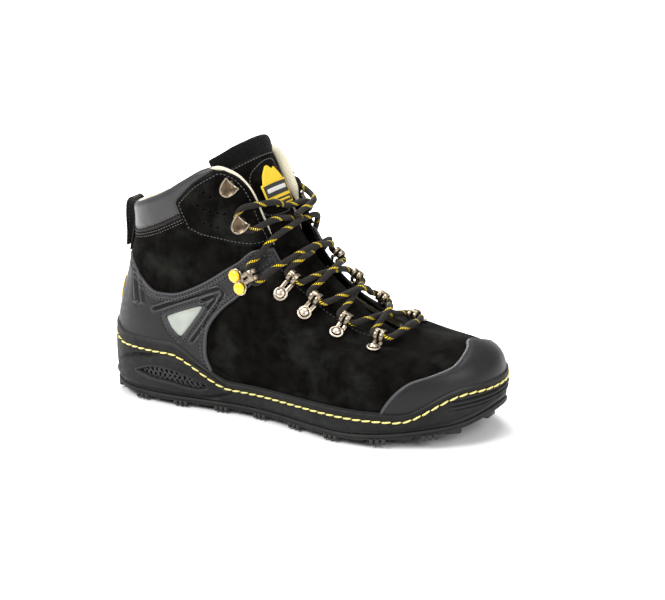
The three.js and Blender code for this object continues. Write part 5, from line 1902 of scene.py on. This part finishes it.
def broad_rivet(y):
    """The head and shank of a broad rivet: a smooth high dome."""
    top = METAL + GAP
    return turned([
        [0.05, -6.3], [3.2, -6.3], [3.4, -6.1], [3.4, -5.8], [2.1, -5.7], [2.1, top - 0.05],
        [4.1, top - 0.05], [4.38, top + 0.15], *dome(4.35, top + 0.5, 1.9, 9),
    ], 36, y)


def make_lace_loops():
    for _, side, letter in SIDES:
        for number, place in enumerate(LACE_LOOPS, 1):
            label = letter + str(number)
            stand, reach, rise = loop_stand(place, side, LOOP_LIFT)
            parts = [pad_plate(5.0)] + tunnel_bands(4.2, reach, rise, LOOP_LENGTH)
            build("loop_metal_" + label, *placed(stand, *parts), "nickel", "lace_loop_" + label,
                  body="loop_" + label)
            build("loop_rivet_head_" + label, *placed(stand, small_rivet()), "nickel", "loop_rivet_" + label)


def make_ankle_hooks():
    """The ankle hooks: a pad under each broad rivet, a bridge and a rolled tunnel."""
    for name, side, letter in SIDES:
        stand, reach, rise = loop_stand(ANKLE_HOOK, side, STRAP_LIFT)
        bridge = band([[2.2, METAL / 2], [4.8, METAL / 2], [6.0, METAL / 2]], -6.5, 6.5, METAL)
        parts = [*(pad_plate(5.3, y) for y in ANKLE_RIVETS), bridge]
        hook = placed(stand, *parts, *tunnel_bands(5.2, reach, rise, ANKLE_LENGTH))
        build("ankle_hook_metal_" + name, *hook, "nickel", "ankle_hook_" + name)
        for number, y in enumerate(ANKLE_RIVETS, 1):
            label = letter + str(number)
            build("ankle_rivet_dome_" + label, *placed(stand, broad_rivet(y)), "yellow_rivet",
                  "ankle_rivet_" + label)


def make_speed_hooks():
    """Speed hooks: a base plate, a rising neck and a scooped shield with a rolled bright rim; the shield is
    nickel painted darker, as shade in its scoop.
    """
    for _, side, letter in SIDES:
        for number, place in enumerate(SPEED_HOOKS[side], 1):
            stand = hook_stand(place, side)
            *metal, scoop = speed_hook_parts(side)
            label = letter + str(number)
            build("speed_hook_metal_" + label, *placed(stand, *metal), "nickel", "speed_hook_" + label)
            # The shield takes the darker copy of the nickel: painted shade.
            build("speed_hook_scoop_" + label, *placed(stand, scoop), "worn_brass", slot="nickel")


SHIELD_TURN = 0.42  # how far a shield is turned towards the top of the boot
SHIELD_NECK = 3.5
SHIELD_WIDTH = 5.2
SHIELD_LENGTH = 9.8


def speed_hook_parts(side):
    """The base, neck and rim of a speed hook, and its scooped shield last, turned about the neck."""
    base = turned([[0.05, 0], [3.2, 0], [3.4, 0.25], [3.35, 0.9], [3.0, METAL], [0.05, METAL]], 24)
    foot = band([[-1.5, 0.6], [2.6, 0.6], [3.9, 0.9], [4.4, 2.2], [4.4, 5.8], [4.0, 7.1], [3.2, 7.5]],
                -2.6, 2.6, METAL)
    rows = 15
    columns = 17
    across = np.linspace(-1, 1, columns)[None, :]
    down = np.linspace(0, 1, rows)[:, None]
    half = SHIELD_WIDTH * np.sqrt(1 - down**2.6) + 0.15
    flare = 1.3 * (1 - down) ** 3 * np.abs(across) ** 3
    scoop = 1.25 * (1 - np.abs(across) ** 2.4) * np.sin(math.pi * (0.15 + 0.85 * (1 - down)))
    rise = 7.4 + 1.5 * down + flare * 2 - scoop * 0.9
    x = 4.6 - SHIELD_LENGTH * down + flare
    pivot = np.array([SHIELD_NECK, 0, 0])
    spin = turn_matrix(-side * SHIELD_TURN)
    front, back = (
        (np.stack([x, across * half, rise + lift], -1).reshape(-1, 3) - pivot) @ spin + pivot
        for lift in (0.55, -0.35)
    )
    count = rows * columns
    rim, after = grid_rim(rows, columns)
    quads = grid_quads(rows, columns)[:, ::-1]
    walls = np.stack([rim, after, after + count, rim + count], -1)
    shield = (np.concatenate([front, back]), [np.concatenate([quads, quads[:, ::-1] + count, walls])])
    rim_path = np.concatenate([front[rim], front[rim[:1]]]) - (0, 0, 0.2)
    roll, _, _ = sweep(evenly(rim_path, 0.6), 0.68, sides=8)
    return base, foot, roll, shield


# ---------------------------------------------------------------- lace

def down_instep(point):
    """How far a point is down the instep, from the top of the boot towards the toe."""
    return point[0] - point[2]


def over_instep(down, u, side, offset):
    """The point of the upper on a fan column that lies the given way down the instep."""
    low = 3.0
    high = float(TOP_ROW)
    for _ in range(HALVINGS):
        middle = (low + high) / 2
        if down_instep(lifted(on_side(u, side), middle, offset)) > down:
            low = middle
        else:
            high = middle
    return lifted(on_side(u, side), low, offset)


def tunnel_run(place, side, lift):
    """Lace points before, in and after a loop's tunnel, from the toe side to the ankle side."""
    stand, reach, rise = loop_stand(place, side, lift)
    run = [stand.out([reach, way * LACE_CLEAR, rise]) for way in (-1, 0, 1)]
    return run if down_instep(run[0]) > down_instep(run[2]) else run[::-1]


# How far a high and a low strand stand off the ridge, and how far across the points of a strand are.
HIGH_CROWN = 6.9
LOW_CROWN = 1.8
CROSSING_SHARES = (0.16, 0.32, 0.5, 0.68, 0.84)


def crossing(start, start_u, end, end_u, side, high, flank, sag=0.0):
    """The strand across the throat. A high strand passes over a low one at the ridge."""
    crown = HIGH_CROWN if high else LOW_CROWN
    points = []
    for t in CROSSING_SHARES:
        unfolded = start_u + (2 * RIDGE - end_u - start_u) * t
        u = RIDGE if t == 0.5 else min(unfolded, 2 * RIDGE - unfolded)
        offset = flank + (crown - flank) * smooth_step(5.25, 5.9, u)
        down = down_instep(start) + (down_instep(end) - down_instep(start)) * t + sag * math.sin(math.pi * t)
        points.append(over_instep(down, u, side if unfolded < RIDGE else -side, offset))
    return points


# The way of the lace round a speed hook, in the hook's frame.
HOOK_WRAP = ((8, -8.1), (3.7, -7.1), (0.4, -4.1), (0, 0), (0.4, 4.1), (3.7, 7.1), (8, 8.1))


def round_hook(place, side):
    """Lace round the inside of a speed hook, from below it to above it."""
    stand = hook_stand(place, side)
    points = [stand.out([x, y, METAL + LACE_LIFT]) for x, y in HOOK_WRAP]
    return points if points[0][2] < points[-1][2] else points[::-1]


# How far a strand stands off the upper beside the throat: over the vamp, over the eyelet panel, and at
# the last crossing.
VAMP_FLANK = 5.6
PANEL_FLANK = 7.6
LAST_FLANK = 6.6
LAST_SAG = 6  # how far the last crossing hangs down the instep
# The outer half turns up beside the throat at this fan column, this far above the upper.
LACE_TURN_COLUMN = 5.2
LACE_TURN_LIFT = 11.2
# Fan column, side and offset of each point of the bar across the toe end of the throat.
TOE_BAR = ((5.5, OUTER, 6), (RIDGE, INNER, 5.8), (5.5, INNER, 6))
TAIL_LIFT = 0.8
TAILS = (  # fan places of the two loose ends
    [(3.85, 7.28), (3.4, 7.15), (3.05, 6.85), (2.8, 6.45), (2.68, 6.05)],
    [(4.55, 6.72), (3.95, 6.68), (3.5, 6.4), (3.25, 5.95)],
)


def lace_path():
    rows = {}
    for side in (OUTER, INNER):
        rows[side] = [(tunnel_run(place, side, LOOP_LIFT), place[1][0]) for place in LACE_LOOPS]
        rows[side].append((tunnel_run(ANKLE_HOOK, side, STRAP_LIFT), ANKLE_HOOK[1][0]))
    hook_column = SPEED_HOOKS[INNER][0][0] + 0.3

    def half(start_side, finish_column, finish):
        """One half of the lace, from the toe bar up to its end, starting on one side."""
        points = []
        for row in range(len(rows[INNER])):
            side = -start_side if row % 2 else start_side
            run, u = rows[side][row]
            onward = ([finish[0]], finish_column)
            if row + 1 < len(rows[INNER]):
                onward = rows[-side][row + 1]
            flank = PANEL_FLANK if row >= 3 else VAMP_FLANK
            points += run
            points += crossing(run[2], u, onward[0][0], onward[1], side, start_side == OUTER, flank)
        return points + finish

    outer_hook = round_hook(SPEED_HOOKS[OUTER][0], OUTER)
    inner_hook = round_hook(SPEED_HOOKS[INNER][0], INNER)
    top_hook = round_hook(SPEED_HOOKS[INNER][1], INNER)
    back_tail, front_tail = (
        [lifted(on_side(u, INNER), v, OVERLAY_OUT + LACE_LIFT + TAIL_LIFT) for u, v in tail] for tail in TAILS
    )
    turn_point = over_instep(down_instep(inner_hook[0]) + 2, LACE_TURN_COLUMN, INNER, LACE_TURN_LIFT)
    last_cross = crossing(outer_hook[-1], hook_column, inner_hook[0], hook_column, OUTER, False,
                          LAST_FLANK, LAST_SAG)
    outer_half = half(OUTER, LACE_TURN_COLUMN, [turn_point] + top_hook + back_tail)
    inner_half = half(INNER, hook_column, outer_hook + last_cross + inner_hook + front_tail)
    toe_end = down_instep(rows[OUTER][0][0][0]) + 2
    bar = [over_instep(toe_end, u, side, offset) for u, side, offset in TOE_BAR]
    return outer_half[::-1] + bar + inner_half


LACE_SIDES = 24
# Distances along a tip from the lace's end, and its radius at each.
TIP_STATIONS = np.array([-2.5, -2.3, -1.0, 0, 1.0, 15.5, 17.2, 17.8, 18])
TIP_RADII = np.array([2.32, 2.4, 2.4, 2.1, 1.85, 1.75, 1.6, 1.2, 0.5])


def make_lace():
    """The braided lace: twelve strands twist round it, so its outline is finely lobed."""
    path = evenly(smooth_path(lace_path(), 0.8), 0.55)
    ahead = unit(np.gradient(path, axis=0))
    sideways = path[:, 1] - toe_bend(path[:, 0])
    away = np.stack([np.full(len(path), 22.0), sideways, np.full(len(path), 35.0)], -1)
    (points, faces), along, turn = sweep(path, LACE_RADIUS, LACE_SIDES, up=np.cross(ahead, away))
    centers = np.repeat(path, LACE_SIDES, axis=0)
    strands = [np.sin(LACE_TWIST * along + way * LACE_STRANDS * turn) for way in (1, -1)]
    points = centers + (points - centers) * (0.965 + 0.035 * np.maximum(*strands))[:, None]
    build("lace_braid", points, faces, "cord", replaces="lace",
          layers={"lace_along": along, "lace_turn": turn})
    for name, end, before in (("front", path[0], path[3]), ("back", path[-1], path[-4])):
        tip, _, _ = sweep(end + unit(end - before) * TIP_STATIONS[:, None], TIP_RADII, sides=16)
        build("lace_tip_" + name, *tip, "tip", "aglet_" + name)


# ---------------------------------------------------------------- heel badge and pull

BADGE_HALF_WIDTH = 14
BADGE_LOW = 66
BADGE_HIGH = 83


def make_heel_badge():
    """A plain yellow heel badge with a raised border and level ribs."""
    middle = (BADGE_LOW + BADGE_HIGH) / 2

    def gap_of(c, v):
        point, _ = upper(c, v)
        rise = np.abs(point[..., 2] - middle)
        return np.minimum(BADGE_HALF_WIDTH - 0.16 * rise - np.abs(point[..., 1]),
                          (BADGE_HIGH - BADGE_LOW) / 2 - rise)

    def relief(gap, point):
        ribs = 0.5 + 0.5 * np.sin((point[:, 2] - middle) * 2 * np.pi / 3.2)
        border = 0.4 * (1 - smooth_step(1.4, 1.9, gap))
        return 0.55 * rounded_edge(gap, 0.7) + border + 0.35 * smooth_step(2.0, 2.6, gap) * ribs

    raised_patch("heel_badge_plate", gap_of, (-1.02, 1.02), (2.35, 3.65), OVERLAY_OUT + 0.3, relief,
                 "patch_yellow", "heel_badge")


PULL_FRONT = [[-33, 103], [-28.2, 118], [-25.8, 131]]
PULL_BACK = [[-33.7, 106], [-32.4, 118], [-32, 131]]
PULL_FOLD = [[-26.3, 138], [-28.8, 140.6], [-31.2, 138]]
PULL_HALF_WIDTH = 7
PULL_STRAP = 1.7
PULL_HEM = 1.9  # stitches from its edge


def make_pull_loop():
    """The heel pull: one strap folded over the collar's back, stitched along both edges."""
    outside = smooth_path(PULL_FRONT + PULL_FOLD + PULL_BACK[::-1], 0.7)
    inward = np.stack([np.gradient(outside[:, 1]), -np.gradient(outside[:, 0])], -1)
    center_line = evenly(outside + unit(inward) * PULL_STRAP / 2 * 1.02, 0.8)
    tangent = unit(np.gradient(center_line, axis=0))
    normal = np.stack([-tangent[:, 1], tangent[:, 0]], -1)
    across = np.linspace(-1, 1, 19)
    half_width = PULL_HALF_WIDTH - 0.5 * smooth_step(112, 104, center_line[:, 1])
    rings = []
    for place, out, w in zip(center_line, normal, half_width):
        thick = PULL_STRAP / 2 * (0.45 + 0.55 * rounded_edge(1 - np.abs(across), 0.12))
        thick = thick - 0.16 * bump(np.abs(across) * w, w - PULL_HEM, 0.45)
        wave = 0.18 * np.sin(place[1] / 4.0 + across * 1.7)
        for y, offset in ((across, thick + wave), (across[::-1], -(thick - wave)[::-1])):
            face = place + out * offset[:, None]
            rings.append(np.stack([face[:, 0], y * w, face[:, 1]], -1))
    faces = tube_faces(len(center_line), 2 * len(across))
    build("pull_strap", np.concatenate(rings), faces, "strap", "pull_loop", body="pull_loop")
    parts = []
    for side in (OUTER, INNER):
        line = np.stack([center_line[:, 0], side * (half_width - PULL_HEM), center_line[:, 1]], -1)
        for way in (1, -1):
            face = np.stack([way * normal[:, 0], 0 * normal[:, 0], way * normal[:, 1]], -1)
            parts += stitch_bodies(line[3:-3] + face[3:-3] * 0.95, face[3:-3], 2.6, 2.0, 0.34)
    build("pull_stitches", *merged(parts), "black_thread", slot="thread", body="pull_loop")


# ---------------------------------------------------------------- assembly

def dress_shank():
    """The shank keeps its CAD shape and gets a worked material."""
    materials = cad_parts["shank"].data.materials
    materials.clear()
    materials.append(LOOKS["steel"])


make_footbed()
make_lining()
make_hidden_layers()
make_vamp()
make_quarters()
make_heel_counter()
make_reflectors()
make_toe_guard()
make_eyelet_panels()
make_throat_piping()
make_collar()
make_collar_seam()
make_tongue()
make_tongue_label()
make_midsole()
make_sole_grid()
make_welt_stitches()
make_outsole()
make_tread()
make_lace_loops()
make_ankle_hooks()
make_speed_hooks()
make_lace()
make_heel_badge()
make_pull_loop()
dress_shank()


# ---------------------------------------------------------------- floor, light and camera

def make_floor():
    """A white floor that glows faintly away from the boot, so it meets the white backdrop."""
    bpy.ops.mesh.primitive_plane_add(size=16, location=(0.1, 0, 0))
    floor = bpy.context.object
    floor.name = "floor"
    look = Look("floor", 0.7, Specular_IOR_Level=0.1)
    look.color(look.ramp(look.noise(3, 2), 0.86, 0.88))
    away = look.wired("ShaderNodeVectorMath", {0: look.place}, operation="LENGTH")
    look.set("Emission Color", (1, 1, 1, 1))
    look.set("Emission Strength", look.ramp(away.outputs["Value"], 0.0, 0.6, 0.16, 0.6))
    floor.data.materials.append(look.material)


def make_world(seen, lighting):
    """A white backdrop: `seen` is its strength to the camera, `lighting` to everything else."""
    world = bpy.data.worlds.new("studio")
    bpy.context.scene.world = world
    world.use_nodes = True
    tree = world.node_tree
    background = tree.nodes["Background"]
    path = tree.nodes.new("ShaderNodeLightPath")
    strength = tree.nodes.new("ShaderNodeMix")
    tree.links.new(path.outputs["Is Camera Ray"], strength.inputs["Factor"])
    strength.inputs["A"].default_value = lighting
    strength.inputs["B"].default_value = seen
    background.inputs["Color"].default_value = (1, 1, 1, 1)
    tree.links.new(strength.outputs["Result"], background.inputs["Strength"])


def make_light(name, place, target, size, power):
    data = bpy.data.lights.new(name, "AREA")
    data.shape = "RECTANGLE"
    data.size, data.size_y = size
    data.energy = power
    light = bpy.data.objects.new(name, data)
    bpy.context.scene.collection.objects.link(light)
    light.location = place
    light.rotation_euler = (Vector(target) - Vector(place)).to_track_quat("-Z", "Y").to_euler()


CAMERA_AZIMUTH = 30
CAMERA_ELEVATION = 17
CAMERA_ROLL = -2
CAMERA_DISTANCE = 1.3
CAMERA_TARGET = (0.134, 0.0, 0.082)
CAMERA_LENS = 100.9


def make_camera():
    azimuth, elevation, roll = map(math.radians, (CAMERA_AZIMUTH, CAMERA_ELEVATION, CAMERA_ROLL))
    back = Vector((math.sin(azimuth) * math.cos(elevation), -math.cos(azimuth) * math.cos(elevation),
                   math.sin(elevation)))
    right = Vector((math.cos(azimuth), math.sin(azimuth), 0))
    up = back.cross(right)
    turned_right = right * math.cos(roll) + up * math.sin(roll)
    turned_up = up * math.cos(roll) - right * math.sin(roll)
    data = bpy.data.cameras.new("camera")
    data.sensor_width = 36
    data.lens = CAMERA_LENS
    camera = bpy.data.objects.new("camera", data)
    bpy.context.scene.collection.objects.link(camera)
    basis = Matrix((turned_right, turned_up, back)).transposed().to_4x4()
    camera.matrix_world = Matrix.Translation(Vector(CAMERA_TARGET) + back * CAMERA_DISTANCE) @ basis
    bpy.context.scene.camera = camera


make_floor()
make_world(1.0, 0.62)
# Name, place, target, size and power.
for light in (
    ("key", (-0.35, -0.75, 0.95), (0.1, 0, 0.07), (0.7, 0.5), 14),
    ("fill", (0.95, -0.35, 0.55), (0.15, 0, 0.06), (0.6, 0.5), 5),
    ("rim", (-0.45, 0.65, 0.6), (0.05, 0, 0.1), (0.5, 0.4), 9),
    ("top", (0.1, 0.1, 1.2), (0.1, 0, 0.05), (0.8, 0.5), 10),
):
    make_light(*light)
make_camera()
bpy.context.scene.view_settings.view_transform = "Standard"
